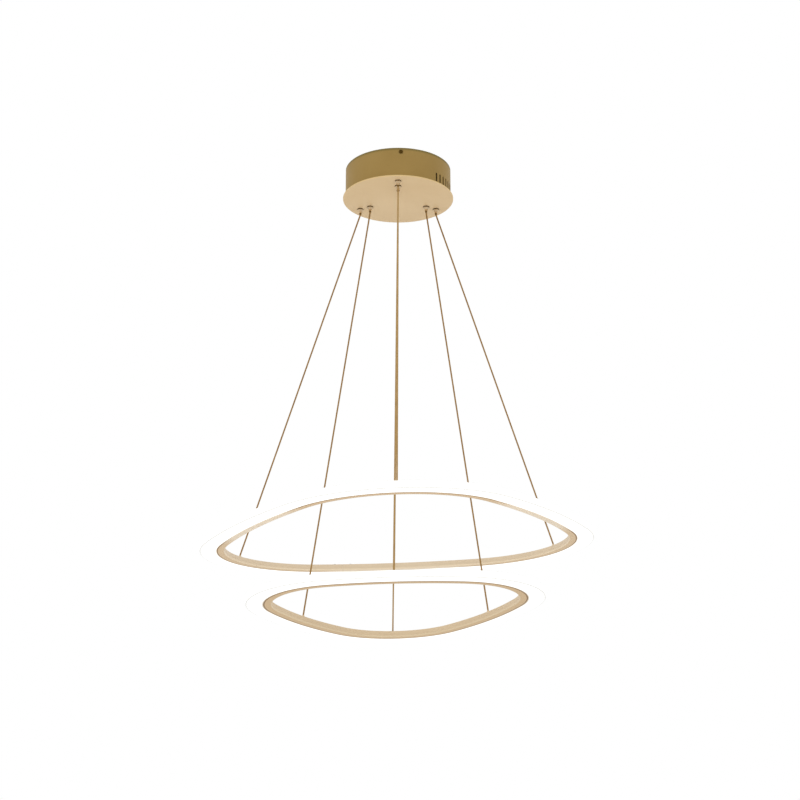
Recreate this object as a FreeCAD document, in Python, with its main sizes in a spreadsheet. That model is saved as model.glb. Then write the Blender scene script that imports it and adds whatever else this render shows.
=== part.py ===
"""Pendant light: two glowing rounded-triangle rings on thin cables under a round ceiling canopy.

Lengths are in millimetres and angles in degrees. The origin is the centre of the ceiling face of
the canopy, +Z points up, the lamp hangs below it, and -Y is the side the light is seen from.
"""
import FreeCAD, Part
import math
import operator
import os

import Sketcher

V = FreeCAD.Vector
doc = FreeCAD.newDocument("pendant_light")

# Driving dimensions, all kept in the sheet
SIZES = {
    # canopy shell
    "canopy_height": 44.0,
    "drum_radius": 72.5,
    "drum_wall": 1.2,
    "lip_width": 9.0,
    "lip_notch_gap": 0.6,
    "disc_overhang": 3.5,
    "disc_thickness": 2.0,
    "disc_bevel": 0.6,
    # upright vents in the drum, in two groups
    "vent_width": 2.8,
    "vent_height": 12.5,
    "vent_rise": 2.8,
    "vent_count": 8,
    "vent_pitch_angle": 6.0,
    "vent_first_angle": -44.0,
    # ceiling plate
    "plate_thickness": 1.5,
    "plate_rim_depth": 12.0,
    "plate_rim_wall": 1.5,
    "plate_gap": 0.2,
    "wire_hole_radius": 10.0,
    "mount_spacing": 100.0,
    "mount_slot_width": 5.2,
    "mount_slot_length": 12.0,
    # side screws of the drum, and the studs and nuts that hold the disc
    "side_screw_depth": 6.0,
    "side_screw_turn_angle": 3.0,
    "side_screw_length": 6.0,
    "screw_radius": 1.5,
    "screw_head_radius": 2.8,
    "screw_head_height": 1.8,
    "screw_gap": 0.1,
    "stud_length": 6.5,
    "stud_angle": 90.0,
    "nut_radius": 3.1,
    "nut_height": 2.4,
    # cable grippers, and how far their centres lie inside the drum's face
    "large_gripper_inset": 11.5,
    "small_gripper_inset": 27.5,
    "flange_radius": 4.5,
    "flange_height": 1.6,
    "flange_bevel": 0.8,
    "collar_radius": 2.9,
    "collar_end_radius": 2.5,
    "collar_height": 2.6,
    "shank_radius": 3.5,
    "shank_length": 9.0,
    "chamber_radius": 2.8,
    "chamber_floor": 1.0,
    "chamber_roof": 0.8,
    "gripper_nut_radius": 5.8,
    "gripper_nut_height": 2.6,
    "guide_gap": 0.05,
    "seat_gap": 0.05,
    # sprung plungers in the grippers
    "plunger_radius": 1.9,
    "plunger_tip_radius": 1.45,
    "plunger_tip_height": 3.0,
    "plunger_reach": 4.0,
    "plunger_shoulder_radius": 2.65,
    "plunger_shoulder_height": 1.0,
    "spring_wall": 0.5,
    # cables and the low-voltage lead
    "cable_radius": 1.05,
    "cable_gap": 0.1,
    "tail_drop": 0.6,
    "tail_rise": 16.0,
    "lead_radius": 1.0,
    "bush_inset": 14.0,
    "bush_radius": 2.4,
    "bush_neck_radius": 1.8,
    "bush_flange_height": 0.8,
    "bush_length": 5.0,
    # wiring gear inside the canopy
    "driver_width": 26.0,
    "driver_height": 19.0,
    "driver_spread": 29.0,
    "driver_corner_radius": 2.5,
    "large_driver_length": 78.0,
    "small_driver_length": 66.0,
    "ear_length": 8.0,
    "ear_width": 12.0,
    "ear_thickness": 2.0,
    "block_length": 26.0,
    "block_width": 15.0,
    "block_height": 13.0,
    "block_position": 36.0,
    "block_screw_radius": 1.6,
    "block_screw_depth": 4.0,
    "block_pitch": 8.0,
    "earth_screw_position": 32.0,
    # section of both rings: a gold channel inside, an opal profile outside
    "band_width": 10.0,
    "band_height": 8.4,
    "web_wall": 1.5,
    "flange_wall": 1.2,
    "diffuser_width": 22.6,
    "diffuser_height": 9.0,
    "diffuser_wall": 1.5,
    "diffuser_bevel": 1.2,
    "diffuser_gap": 0.1,
    "tongue_reach": 2.7,
    "tongue_thickness": 1.1,
    "rib_width": 1.5,
    "seam_width": 0.3,
    "large_seam_shift": 76.0,
    "small_seam_shift": 40.0,
    # light-emitting strip
    "board_thickness": 0.5,
    "board_width": 4.8,
    "board_rise": 1.8,
    "board_end_gap": 4.0,
    "led_length": 3.5,
    "led_width": 2.8,
    "led_thickness": 0.7,
    "led_gap": 0.02,
    "led_pitch": 28.0,
    # joiner inside the channel
    "joiner_length": 36.0,
    "joiner_width": 3.0,
    "joiner_thickness": 1.4,
    "joiner_inset": 2.4,
    "joiner_gap": 0.05,
    "joiner_screw_radius": 1.0,
    "joiner_screw_head_radius": 1.9,
    "joiner_screw_head_height": 1.2,
    "joiner_screw_spread": 22.0,
    # cable anchors and lead entries on the rings
    "anchor_shank_radius": 1.5,
    "anchor_collar_radius": 2.0,
    "anchor_collar_height": 0.9,
    "anchor_base_radius": 2.2,
    "anchor_base_height": 1.0,
    "anchor_tip_radius": 1.3,
    "anchor_height": 3.2,
    "anchor_gap": 0.05,
    "grommet_radius": 2.4,
    "grommet_height": 1.0,
    # large ring, as it hangs
    "large_ring_width": 520.7,
    "large_corner_radius": 139.0,
    "large_side_radius": 728.8,
    "large_drop": 524.2,
    "large_shift": -1.2,
    "large_lean_angle": -2.13,
    "large_nod_angle": 1.75,
    "large_front_angle": -89.82,
    "large_entry_angle": -84.0,
    # small ring, as it hangs
    "small_ring_width": 378.0,
    "small_corner_radius": 93.0,
    "small_side_radius": 432.6,
    "small_drop": 616.9,
    "small_shift": -2.8,
    "small_lean_angle": -1.48,
    "small_nod_angle": -1.28,
    "small_front_angle": -90.17,
    "small_entry_angle": 92.5,
    # how far cuts run past what they cut
    "overrun": 1.0,
}

SHEET = "sizes"
START, END, CENTRE = range(1, 4)
ORIGIN = -START
HOLD_COUNT = 3
HEXAGON_COUNT = 6
FULL_ANGLE = 360
HALF_ANGLE = FULL_ANGLE / 2
QUARTER_ANGLE = FULL_ANGLE / 4
SIXTH_ANGLE = FULL_ANGLE / HEXAGON_COUNT
STEP_ANGLE = FULL_ANGLE / HOLD_COUNT
# How far a cable runs on past each end before it is cut level, as a share of its radius
SPARE_SHARE = 4
# Directions in which the canopy holds each ring, from +X towards +Y. On the rings themselves the
# front holds are set a little aside, so that the two front cables hang side by side
HOLD_ANGLES = {"front": -90, "right": 30, "left": 150}


class Size(float):
    """A length or angle: its number, and the expression that ties it to the sheet."""

    def __new__(cls, number, text):
        made = float.__new__(cls, number)
        made.text = text
        return made


def text_of(number):
    return number.text if isinstance(number, Size) else "%.9f" % number


def worked(sign, work):
    def method(first, second):
        text = "(%s %s %s)" % (text_of(first), sign, text_of(second))
        return Size(work(float(first), float(second)), text)
    return method


for word, sign, work in (("add", "+", operator.add), ("sub", "-", operator.sub),
                         ("mul", "*", operator.mul), ("truediv", "/", operator.truediv)):
    setattr(Size, "__%s__" % word, worked(sign, work))
    swapped = worked(sign, work)
    setattr(Size, "__r%s__" % word, lambda second, first, swapped=swapped: swapped(first, second))
Size.__neg__ = lambda size: Size(-float(size), "(0 - %s)" % size.text)


class Sizes:
    """The sheet's values under their names."""


def fill_sheet():
    sheet = doc.addObject("Spreadsheet::Sheet", SHEET)
    sizes = Sizes()
    for row, (name, number) in enumerate(SIZES.items(), 1):
        sheet.set("A%d" % row, name)
        sheet.set("B%d" % row, repr(number))
        sheet.setAlias("B%d" % row, name)
        setattr(sizes, name, Size(number, "%s.%s" % (SHEET, name)))
    doc.recompute()
    return sizes


s = fill_sheet()
nodes = []


# General steps for bodies and sketches

def bind(thing, prop, size):
    if isinstance(size, Size):
        thing.setExpression(prop, size.text)


def new_body(label, kept=True):
    body = doc.addObject("PartDesign::Body", label)
    body.Label = label
    body.AllowCompound = True
    if kept:
        nodes.append(body)
    return body


def origin_part(body, role):
    return next(item for item in body.Origin.OriginFeatures if item.Role == role)


def new_sketch(body, name, role, lift=0):
    sketch = body.newObject("Sketcher::SketchObject", "%s_%s" % (body.Label, name))
    sketch.AttachmentSupport = (origin_part(body, role), [""])
    sketch.MapMode = "FlatFace"
    sketch.AttachmentOffset = FreeCAD.Placement(V(0, 0, float(lift)), FreeCAD.Rotation())
    bind(sketch, "AttachmentOffset.Base.z", lift)
    return sketch


def dimension(sketch, kind, *place):
    """Adds a dimension whose last argument is its size, tied to the sheet."""
    number = sketch.addConstraint(Sketcher.Constraint(kind, *place[:-1], float(place[-1])))
    bind(sketch, "Constraints[%d]" % number, place[-1])


def spot(sketch, item, point, x, y):
    dimension(sketch, "DistanceX", ORIGIN, START, item, point, x)
    dimension(sketch, "DistanceY", ORIGIN, START, item, point, y)


def polygon(sketch, points):
    count = len(points)
    places = [V(float(x), float(y), 0) for x, y in points]
    lines = []
    for i in range(count):
        line = Part.LineSegment(places[i], places[(i + 1) % count])
        lines.append(sketch.addGeometry(line, False))
    for i, line in enumerate(lines):
        following = lines[(i + 1) % count]
        sketch.addConstraint(Sketcher.Constraint("Coincident", line, END, following, START))
        spot(sketch, line, START, *points[i])


def rectangle(sketch, low_x, low_y, high_x, high_y):
    polygon(sketch, [(low_x, low_y), (high_x, low_y), (high_x, high_y), (low_x, high_y)])


def circle(sketch, x, y, radius):
    item = Part.Circle(V(float(x), float(y), 0), V(0, 0, 1), float(radius))
    item = sketch.addGeometry(item, False)
    spot(sketch, item, CENTRE, x, y)
    dimension(sketch, "Radius", item, radius)


def slot(sketch, x, y, width, length):
    """An upright slot with round ends, centred on a point."""
    half = (length - width) / 2
    radius = width / 2
    ends = []
    for way, angle in ((1, 0), (-1, math.pi)):
        middle = V(float(x), float(y + way * half), 0)
        end = Part.Circle(middle, V(0, 0, 1), float(radius))
        ends.append(sketch.addGeometry(Part.ArcOfCircle(end, angle, angle + math.pi), False))
    for way, end, other in ((1, 0, 1), (-1, 1, 0)):
        start = V(float(x - way * radius), float(y + way * half), 0)
        finish = V(float(x - way * radius), float(y - way * half), 0)
        side = sketch.addGeometry(Part.LineSegment(start, finish), False)
        sketch.addConstraint(Sketcher.Constraint("Tangent", ends[end], END, side, START))
        sketch.addConstraint(Sketcher.Constraint("Tangent", side, END, ends[other], START))
    spot(sketch, ends[0], CENTRE, x, y + half)
    spot(sketch, ends[1], CENTRE, x, y - half)
    dimension(sketch, "Radius", ends[0], radius)


def feature(body, kind, name, sketch):
    made = body.newObject("PartDesign::%s" % kind, "%s_%s" % (body.Label, name))
    made.Profile = sketch
    return made


def pad(body, name, sketch, length):
    made = feature(body, "Pad", name, sketch)
    made.Length = float(length)
    bind(made, "Length", length)
    return made


def pocket(body, name, sketch, length, backwards=False):
    """Cuts against the sketch's own direction, or along it when backwards."""
    made = feature(body, "Pocket", name, sketch)
    made.Length = float(length)
    made.Reversed = backwards
    bind(made, "Length", length)
    return made


def turned(body, name, points, angle=FULL_ANGLE):
    """Turns a closed outline of (radius, height) points about the body's own Z axis."""
    sketch = new_sketch(body, name + "_outline", "XZ_Plane")
    polygon(sketch, points)
    made = feature(body, "Revolution", name, sketch)
    made.ReferenceAxis = (sketch, ["V_Axis"])
    made.Angle = float(angle)
    bind(made, "Angle", angle)
    return made


def round_about(body, name, features, count, angle=FULL_ANGLE):
    """Repeats features about the body's own Z axis."""
    made = body.newObject("PartDesign::PolarPattern", "%s_%s" % (body.Label, name))
    made.Originals = features
    made.Axis = (origin_part(body, "Z_Axis"), [""])
    made.Angle = float(angle)
    made.Occurrences = int(count)
    bind(made, "Angle", angle)
    bind(made, "Occurrences", count)
    body.Tip = made
    return made


def eased(body, kind, name, base, picked, size):
    """Gives a Fillet or a Chamfer to the edges of a feature that picked() says yes to."""
    doc.recompute()
    edges = enumerate(base.Shape.Edges, 1)
    chosen = ["Edge%d" % number for number, edge in edges if picked(edge)]
    made = body.newObject("PartDesign::%s" % kind, "%s_%s" % (body.Label, name))
    made.Base = (base, chosen)
    prop = "Radius" if kind == "Fillet" else "Size"
    setattr(made, prop, float(size))
    bind(made, prop, size)
    return made


def placed_text(place):
    """Expression for a place given as x, y, z, then the turns about Z, Y and X."""
    texts = [text_of(number) for number in place]
    return "placement(vector(%s; %s; %s); rotation(%s; %s; %s))" % tuple(texts)


def put(thing, place, carrier=None):
    """Sets a piece down at a place, measured in its carrier's own frame when it has one."""
    text = placed_text(place)
    if carrier is not None:
        text = "%s * %s" % (placed_text(carrier), text)
    thing.setExpression("Placement", text)


def placement(place):
    x, y, z, yaw, pitch, roll = [float(number) for number in place]
    return FreeCAD.Placement(V(x, y, z), FreeCAD.Rotation(yaw, pitch, roll))


def group(label, members):
    """Holds like pieces in one node."""
    made = doc.addObject("Part::Compound", label)
    made.Label = label
    made.Links = members
    nodes.append(made)
    return made


def screw(name, radius, length, head_radius, head_height):
    """A low-head screw: its head's seat is at height zero, and its shank points down."""
    body = new_body(name, kept=False)
    turned(body, "screw", [
        (0, -length), (radius, -length), (radius, 0), (head_radius, 0),
        (head_radius, head_height), (0, head_height)])
    return body


def hexagon(sketch, radius):
    angles = [math.radians(SIXTH_ANGLE * side) for side in range(HEXAGON_COUNT)]
    polygon(sketch, [(radius * math.cos(a), radius * math.sin(a)) for a in angles])


def nut(name, radius, bore, height):
    body = new_body(name, kept=False)
    sketch = new_sketch(body, "outline", "XY_Plane")
    hexagon(sketch, radius)
    circle(sketch, 0, 0, bore)
    pad(body, "nut", sketch, height)
    return body


def on_circle(radius, angle):
    turn = math.radians(angle)
    return radius * math.cos(turn), radius * math.sin(turn)


# Heights in the canopy, all below the ceiling
disc_face = -s.canopy_height
disc_top = disc_face + s.disc_thickness
lip_top = disc_top + s.drum_wall
plate_face = -s.plate_thickness
drum_inside = s.drum_radius - s.drum_wall
rim_radius = drum_inside - s.plate_gap
stud_circle = drum_inside - s.lip_width / 2
disc_radius = s.drum_radius + s.disc_overhang


def gripper_circle(ring):
    return s.drum_radius - getattr(s, ring + "_gripper_inset")


bush_position = gripper_circle("small") - s.bush_inset


# Canopy

def side_holes(body, name, radius):
    """Bores three side-screw holes through the wall, towards the front and at the sides."""
    sketch = new_sketch(body, name, "XZ_Plane")
    turn = FreeCAD.Rotation(0, float(s.side_screw_turn_angle), 0)
    sketch.AttachmentOffset = FreeCAD.Placement(V(0, 0, 0), turn)
    circle(sketch, 0, -s.side_screw_depth, radius)
    cut = pocket(body, name + "_cut", sketch, disc_radius, backwards=True)
    return round_about(body, name + "_set", [cut], HOLD_COUNT)


def make_drum():
    body = new_body("canopy_drum")
    turned(body, "shell", [
        (s.drum_radius, disc_top), (s.drum_radius, 0), (drum_inside, 0), (drum_inside, lip_top),
        (drum_inside - s.lip_width, lip_top), (drum_inside - s.lip_width, disc_top)])
    side_holes(body, "screw_holes", s.screw_radius + s.screw_gap)
    sketch = new_sketch(body, "stud_hole", "XY_Plane", lip_top + s.overrun)
    x, y = on_circle(stud_circle, s.stud_angle)
    circle(sketch, x, y, s.screw_radius + s.screw_gap)
    cut = pocket(body, "stud_cut", sketch, s.drum_wall + 2 * s.overrun)
    round_about(body, "stud_holes", [cut], HOLD_COUNT)
    sketch = new_sketch(body, "lip_notch", "XY_Plane", lip_top + s.overrun)
    x, y = on_circle(gripper_circle("large"), HOLD_ANGLES["front"])
    circle(sketch, x, y, s.gripper_nut_radius + s.lip_notch_gap)
    cut = pocket(body, "notch_cut", sketch, s.drum_wall + 2 * s.overrun)
    round_about(body, "lip_notches", [cut], HOLD_COUNT)
    foot = disc_top + s.vent_rise
    spread = s.vent_pitch_angle * (s.vent_count - 1)
    for name, extra in (("right", 0), ("left", HALF_ANGLE)):
        sketch = new_sketch(body, "vent_" + name, "XZ_Plane")
        turn = FreeCAD.Rotation(0, float(s.vent_first_angle) + QUARTER_ANGLE + extra, 0)
        sketch.AttachmentOffset = FreeCAD.Placement(V(0, 0, 0), turn)
        rectangle(sketch, -s.vent_width / 2, foot, s.vent_width / 2, foot + s.vent_height)
        cut = pocket(body, "vent_cut_" + name, sketch, disc_radius, backwards=True)
        round_about(body, "vents_" + name, [cut], s.vent_count, spread)


def make_plate():
    body = new_body("ceiling_plate")
    turned(body, "plate", [
        (s.wire_hole_radius, 0), (s.wire_hole_radius, plate_face),
        (rim_radius - s.plate_rim_wall, plate_face),
        (rim_radius - s.plate_rim_wall, -s.plate_rim_depth),
        (rim_radius, -s.plate_rim_depth), (rim_radius, 0)])
    side_holes(body, "thread_holes", s.screw_radius + s.screw_gap)
    sketch = new_sketch(body, "slots", "XY_Plane", s.overrun)
    for way in (1, -1):
        slot(sketch, 0, way * s.mount_spacing / 2, s.mount_slot_width, s.mount_slot_length)
    for x, y in driver_screw_spots():
        circle(sketch, x, y, s.screw_radius + s.screw_gap)
    circle(sketch, -s.earth_screw_position, 0, s.screw_radius + s.screw_gap)
    pocket(body, "slot_cut", sketch, s.plate_thickness + 2 * s.overrun)


def make_disc():
    body = new_body("canopy_disc")
    turned(body, "disc", [
        (0, disc_face), (disc_radius - s.disc_bevel, disc_face),
        (disc_radius, disc_face + s.disc_bevel), (disc_radius, disc_top), (0, disc_top)])
    sketch = new_sketch(body, "stud", "XY_Plane", disc_top)
    x, y = on_circle(stud_circle, s.stud_angle)
    circle(sketch, x, y, s.screw_radius)
    stud = pad(body, "stud_pad", sketch, s.stud_length)
    round_about(body, "studs", [stud], HOLD_COUNT)
    sketch = new_sketch(body, "gripper_hole", "XY_Plane", disc_top + s.overrun)
    for reach in (gripper_circle("large"), gripper_circle("small")):
        circle(sketch, *on_circle(reach, HOLD_ANGLES["front"]), s.shank_radius + s.screw_gap)
    cut = pocket(body, "gripper_cut", sketch, s.disc_thickness + 2 * s.overrun)
    round_about(body, "gripper_holes", [cut], HOLD_COUNT)
    sketch = new_sketch(body, "bush_hole", "XY_Plane", disc_top + s.overrun)
    circle(sketch, 0, -bush_position, s.bush_neck_radius + s.screw_gap)
    pocket(body, "bush_cut", sketch, s.disc_thickness + 2 * s.overrun)


def make_side_screws():
    members = []
    for side, angle in HOLD_ANGLES.items():
        piece = screw("side_screw_" + side, s.screw_radius, s.side_screw_length,
                      s.screw_head_radius, s.screw_head_height)
        angle = angle + s.side_screw_turn_angle
        x, y = on_circle(s.drum_radius, angle)
        put(piece, (x, y, -s.side_screw_depth, angle, QUARTER_ANGLE, 0))
        members.append(piece)
    group("drum_screws", members)


def make_disc_nuts():
    members = []
    for step in range(HOLD_COUNT):
        angle = s.stud_angle + STEP_ANGLE * step
        piece = nut("disc_nut_%d" % (step + 1), s.nut_radius, s.screw_radius + s.screw_gap,
                    s.nut_height)
        x, y = on_circle(stud_circle, angle)
        put(piece, (x, y, lip_top, angle, 0, 0))
        members.append(piece)
    group("disc_nuts", members)


# Wiring gear inside the canopy

def driver_length(ring):
    return getattr(s, ring + "_driver_length")


def driver_position(ring):
    """The large ring's driver lies at the back of the canopy, the small ring's in front."""
    return s.driver_spread if ring == "large" else -s.driver_spread


def driver_screw_spots():
    spots = []
    for ring in ("large", "small"):
        reach = driver_length(ring) / 2 - s.ear_length / 2
        for way in (1, -1):
            spots.append((way * reach, driver_position(ring)))
    return spots


def make_driver(ring):
    """A driver: a moulded box between two low ears that are screwed to the ceiling plate."""
    body = new_body("driver_%s_ring" % ring)
    half = driver_length(ring) / 2
    inner = half - s.ear_length
    sketch = new_sketch(body, "box", "XY_Plane", plate_face - s.driver_height)
    rectangle(sketch, -inner, -s.driver_width / 2, inner, s.driver_width / 2)
    box = pad(body, "box_pad", sketch, s.driver_height)

    def upright(edge):
        return edge.BoundBox.ZLength > float(s.driver_height) / 2

    eased(body, "Fillet", "corners", box, upright, s.driver_corner_radius)
    sketch = new_sketch(body, "ears", "XY_Plane", plate_face - s.ear_thickness)
    rectangle(sketch, -half, -s.ear_width / 2, half, s.ear_width / 2)
    for way in (1, -1):
        reach = half - s.ear_length / 2
        circle(sketch, way * reach, 0, s.screw_radius + s.screw_gap)
    pad(body, "ear_pad", sketch, s.ear_thickness)
    put(body, (0, driver_position(ring), 0, 0, 0, 0))


def make_driver_screws():
    members = []
    for number, (x, y) in enumerate(driver_screw_spots(), 1):
        length = s.ear_thickness + s.plate_thickness
        piece = screw("driver_screw_%d" % number, s.screw_radius, length,
                      s.screw_head_radius, s.screw_head_height)
        put(piece, (x, y, plate_face - s.ear_thickness, 0, 0, HALF_ANGLE))
        members.append(piece)
    group("driver_screws", members)


def make_terminal_block():
    body = new_body("terminal_block")
    sketch = new_sketch(body, "box", "XY_Plane", plate_face - s.block_height)
    rectangle(sketch, -s.block_width / 2, -s.block_length / 2, s.block_width / 2, s.block_length / 2)
    pad(body, "box_pad", sketch, s.block_height)
    sketch = new_sketch(body, "screw_wells", "XY_Plane", plate_face - s.block_height)
    for step in (-1, 0, 1):
        circle(sketch, 0, step * s.block_pitch, s.block_screw_radius + s.screw_gap)
    pocket(body, "well_cut", sketch, s.block_screw_depth, backwards=True)
    put(body, (s.block_position, 0, 0, 0, 0, 0))
    members = []
    for step in (-1, 0, 1):
        piece = new_body("terminal_screw_%d" % (step + 2), kept=False)
        turned(piece, "grub", [
            (0, 0), (s.block_screw_radius, 0), (s.block_screw_radius, -s.block_screw_depth),
            (0, -s.block_screw_depth)])
        face = plate_face - s.block_height + s.block_screw_depth
        put(piece, (s.block_position, step * s.block_pitch, face, 0, 0, 0))
        members.append(piece)
    group("terminal_screws", members)


def make_earth_screw():
    piece = screw("earth_screw", s.screw_radius, s.plate_thickness, s.screw_head_radius,
                  s.screw_head_height)
    nodes.append(piece)
    put(piece, (-s.earth_screw_position, 0, plate_face, 0, 0, HALF_ANGLE))


# Cable grippers: heights count from the lower face of the disc

collar_end = -(s.flange_height + s.collar_height)
chamber_top = s.shank_length - s.chamber_roof
shoulder_foot = s.chamber_floor + s.seat_gap
shoulder_top = shoulder_foot + s.plunger_shoulder_height
plunger_tip = collar_end - s.plunger_reach
cable_bore = s.cable_radius + s.cable_gap


def make_barrel(ring, side, place):
    guide = s.plunger_radius + s.guide_gap
    barrel = new_body("%s_gripper_%s" % (ring, side), kept=False)
    turned(barrel, "barrel", [
        (guide, collar_end), (s.collar_end_radius, collar_end),
        (s.collar_radius, -s.flange_height), (s.flange_radius - s.flange_bevel, -s.flange_height),
        (s.flange_radius, -s.flange_height + s.flange_bevel), (s.flange_radius, 0),
        (s.shank_radius, 0), (s.shank_radius, s.shank_length),
        (cable_bore + s.cable_gap, s.shank_length), (cable_bore + s.cable_gap, chamber_top),
        (s.chamber_radius, chamber_top), (s.chamber_radius, s.chamber_floor),
        (guide, s.chamber_floor)])
    put(barrel, place)
    return barrel


def make_plunger(ring, side, place):
    """The sprung nose that is pushed up to let the cable slide."""
    plunger = new_body("%s_plunger_%s" % (ring, side))
    turned(plunger, "plunger", [
        (cable_bore, plunger_tip), (s.plunger_tip_radius, plunger_tip),
        (s.plunger_radius, plunger_tip + s.plunger_tip_height), (s.plunger_radius, shoulder_foot),
        (s.plunger_shoulder_radius, shoulder_foot), (s.plunger_shoulder_radius, shoulder_top),
        (cable_bore, shoulder_top)])
    put(plunger, place)


def make_spring(ring, side, place):
    spring = new_body("%s_spring_%s" % (ring, side))
    inside = s.plunger_shoulder_radius - s.spring_wall
    turned(spring, "coils", [
        (inside, shoulder_top + s.seat_gap), (s.plunger_shoulder_radius, shoulder_top + s.seat_gap),
        (s.plunger_shoulder_radius, chamber_top), (inside, chamber_top)])
    put(spring, place)


def make_grippers(ring):
    """The three grippers of a ring: barrels in one node, plungers and springs in their own."""
    barrels = []
    for side, angle in HOLD_ANGLES.items():
        x, y = on_circle(gripper_circle(ring), angle)
        place = (x, y, disc_face, angle, 0, 0)
        barrels.append(make_barrel(ring, side, place))
        make_plunger(ring, side, place)
        make_spring(ring, side, place)
    group("%s_grippers" % ring, barrels)


def make_gripper_nuts():
    members = []
    for ring in RINGS:
        for side, angle in HOLD_ANGLES.items():
            piece = nut("%s_gripper_nut_%s" % (ring, side), s.gripper_nut_radius,
                        s.shank_radius + s.screw_gap, s.gripper_nut_height)
            x, y = on_circle(gripper_circle(ring), angle)
            put(piece, (x, y, disc_top, angle, 0, 0))
            members.append(piece)
    group("gripper_nuts", members)


def make_lead_bush():
    body = new_body("lead_bush")
    bore = s.lead_radius + s.cable_gap
    turned(body, "bush", [
        (bore, -s.bush_flange_height), (s.bush_radius, -s.bush_flange_height), (s.bush_radius, 0),
        (s.bush_neck_radius, 0), (s.bush_neck_radius, s.bush_length), (bore, s.bush_length)])
    put(body, (0, -bush_position, disc_face, 0, 0, 0))


# Rings

class Ring:
    """Outline of one ring: corner arcs and side arcs of the inner face of its gold band."""

    def __init__(self, name, turn, seam_side):
        self.name = name
        self.turn = turn
        self.corner_radius = getattr(s, name + "_corner_radius")
        self.side_radius = getattr(s, name + "_side_radius")
        half = getattr(s, name + "_ring_width") / 2
        section = s.band_width + s.diffuser_width
        sixth = math.radians(SIXTH_ANGLE)
        self.distance = (half - section - self.corner_radius) / math.cos(sixth / 2)
        reach = self.side_radius - self.corner_radius
        self.side_spread = math.asin(self.distance / reach * math.sin(sixth))
        self.corner_spread = sixth - self.side_spread
        self.side_back = reach * math.cos(self.side_spread) - self.distance / 2
        self.place = (getattr(s, name + "_shift"), 0, -getattr(s, name + "_drop"), 0,
                      getattr(s, name + "_lean_angle"), getattr(s, name + "_nod_angle"))
        self.holds = dict(HOLD_ANGLES, front=getattr(s, name + "_front_angle"))
        self.entry = math.radians(getattr(s, name + "_entry_angle"))
        seam_shift = getattr(s, name + "_seam_shift")
        self.seam = math.radians(seam_side) + float(seam_shift) / float(self.side_radius)
        self.seam_side = math.radians(seam_side)

    def arcs(self):
        """Middle direction and half spread of each arc, corner and side in turn."""
        for step in range(HOLD_COUNT):
            corner = math.radians(self.turn + STEP_ANGLE * step)
            yield corner, self.corner_spread, True
            yield corner + math.radians(SIXTH_ANGLE), self.side_spread, False

    def arc_radius(self, corner):
        return self.corner_radius if corner else self.side_radius

    def arc_centre(self, middle, corner):
        reach = self.distance if corner else -self.side_back
        return reach * math.cos(middle), reach * math.sin(middle)

    def arc_at(self, normal):
        """Middle direction of the arc whose normals include this one, and whether it's a corner."""
        for middle, spread, corner in self.arcs():
            if abs(math.remainder(normal - middle, 2 * math.pi)) <= spread:
                return middle, corner

    def point(self, normal, offset):
        """Point of the outline, moved out by offset, where its normal has this direction."""
        middle, corner = self.arc_at(normal)
        x, y = self.arc_centre(middle, corner)
        radius = self.arc_radius(corner) + offset
        return x + radius * math.cos(normal), y + radius * math.sin(normal)

    def spot_at(self, normal, offset, height):
        """The same point, at a height, as a plain vector in the ring's own frame."""
        x, y = self.point(normal, offset)
        return V(float(x), float(y), float(height))

    def loop(self, sketch, offset):
        """Draws the closed outline, moved out by offset."""
        items = []
        for middle, spread, corner in self.arcs():
            x, y = self.arc_centre(middle, corner)
            radius = self.arc_radius(corner) + offset
            whole = Part.Circle(V(float(x), float(y), 0), V(0, 0, 1), float(radius))
            arc = Part.ArcOfCircle(whole, middle - spread, middle + spread)
            items.append(sketch.addGeometry(arc, False))
        for i, item in enumerate(items):
            following = items[(i + 1) % len(items)]
            sketch.addConstraint(Sketcher.Constraint("Tangent", item, END, following, START))
        for item, (middle, spread, corner) in zip(items, self.arcs()):
            dimension(sketch, "Radius", item, self.arc_radius(corner) + offset)
            if corner:
                spot(sketch, item, CENTRE, *self.arc_centre(middle, corner))

    def layer(self, body, name, inner, outer, foot, height):
        """A flat band of the ring between two offsets."""
        sketch = new_sketch(body, name, "XY_Plane", foot)
        self.loop(sketch, outer)
        self.loop(sketch, inner)
        return pad(body, name + "_pad", sketch, height)

    def slit(self, body, name, normal, width):
        """Cuts the band through, square to its line, where its normal has a direction."""
        middle, corner = self.arc_at(normal)
        x, y = self.arc_centre(middle, corner)
        sketch = new_sketch(body, name, "XY_Plane")
        turn = FreeCAD.Rotation(V(0, 0, 1), math.degrees(normal))
        sketch.AttachmentOffset = FreeCAD.Placement(V(float(x), float(y), 0), turn)
        bind(sketch, "AttachmentOffset.Base.x", x)
        bind(sketch, "AttachmentOffset.Base.y", y)
        radius = self.arc_radius(corner)
        rectangle(sketch, radius - s.overrun, -width / 2, radius + s.band_width + s.overrun,
                  width / 2)
        return pocket(body, name + "_cut", sketch, s.band_height, backwards=True)


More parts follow.
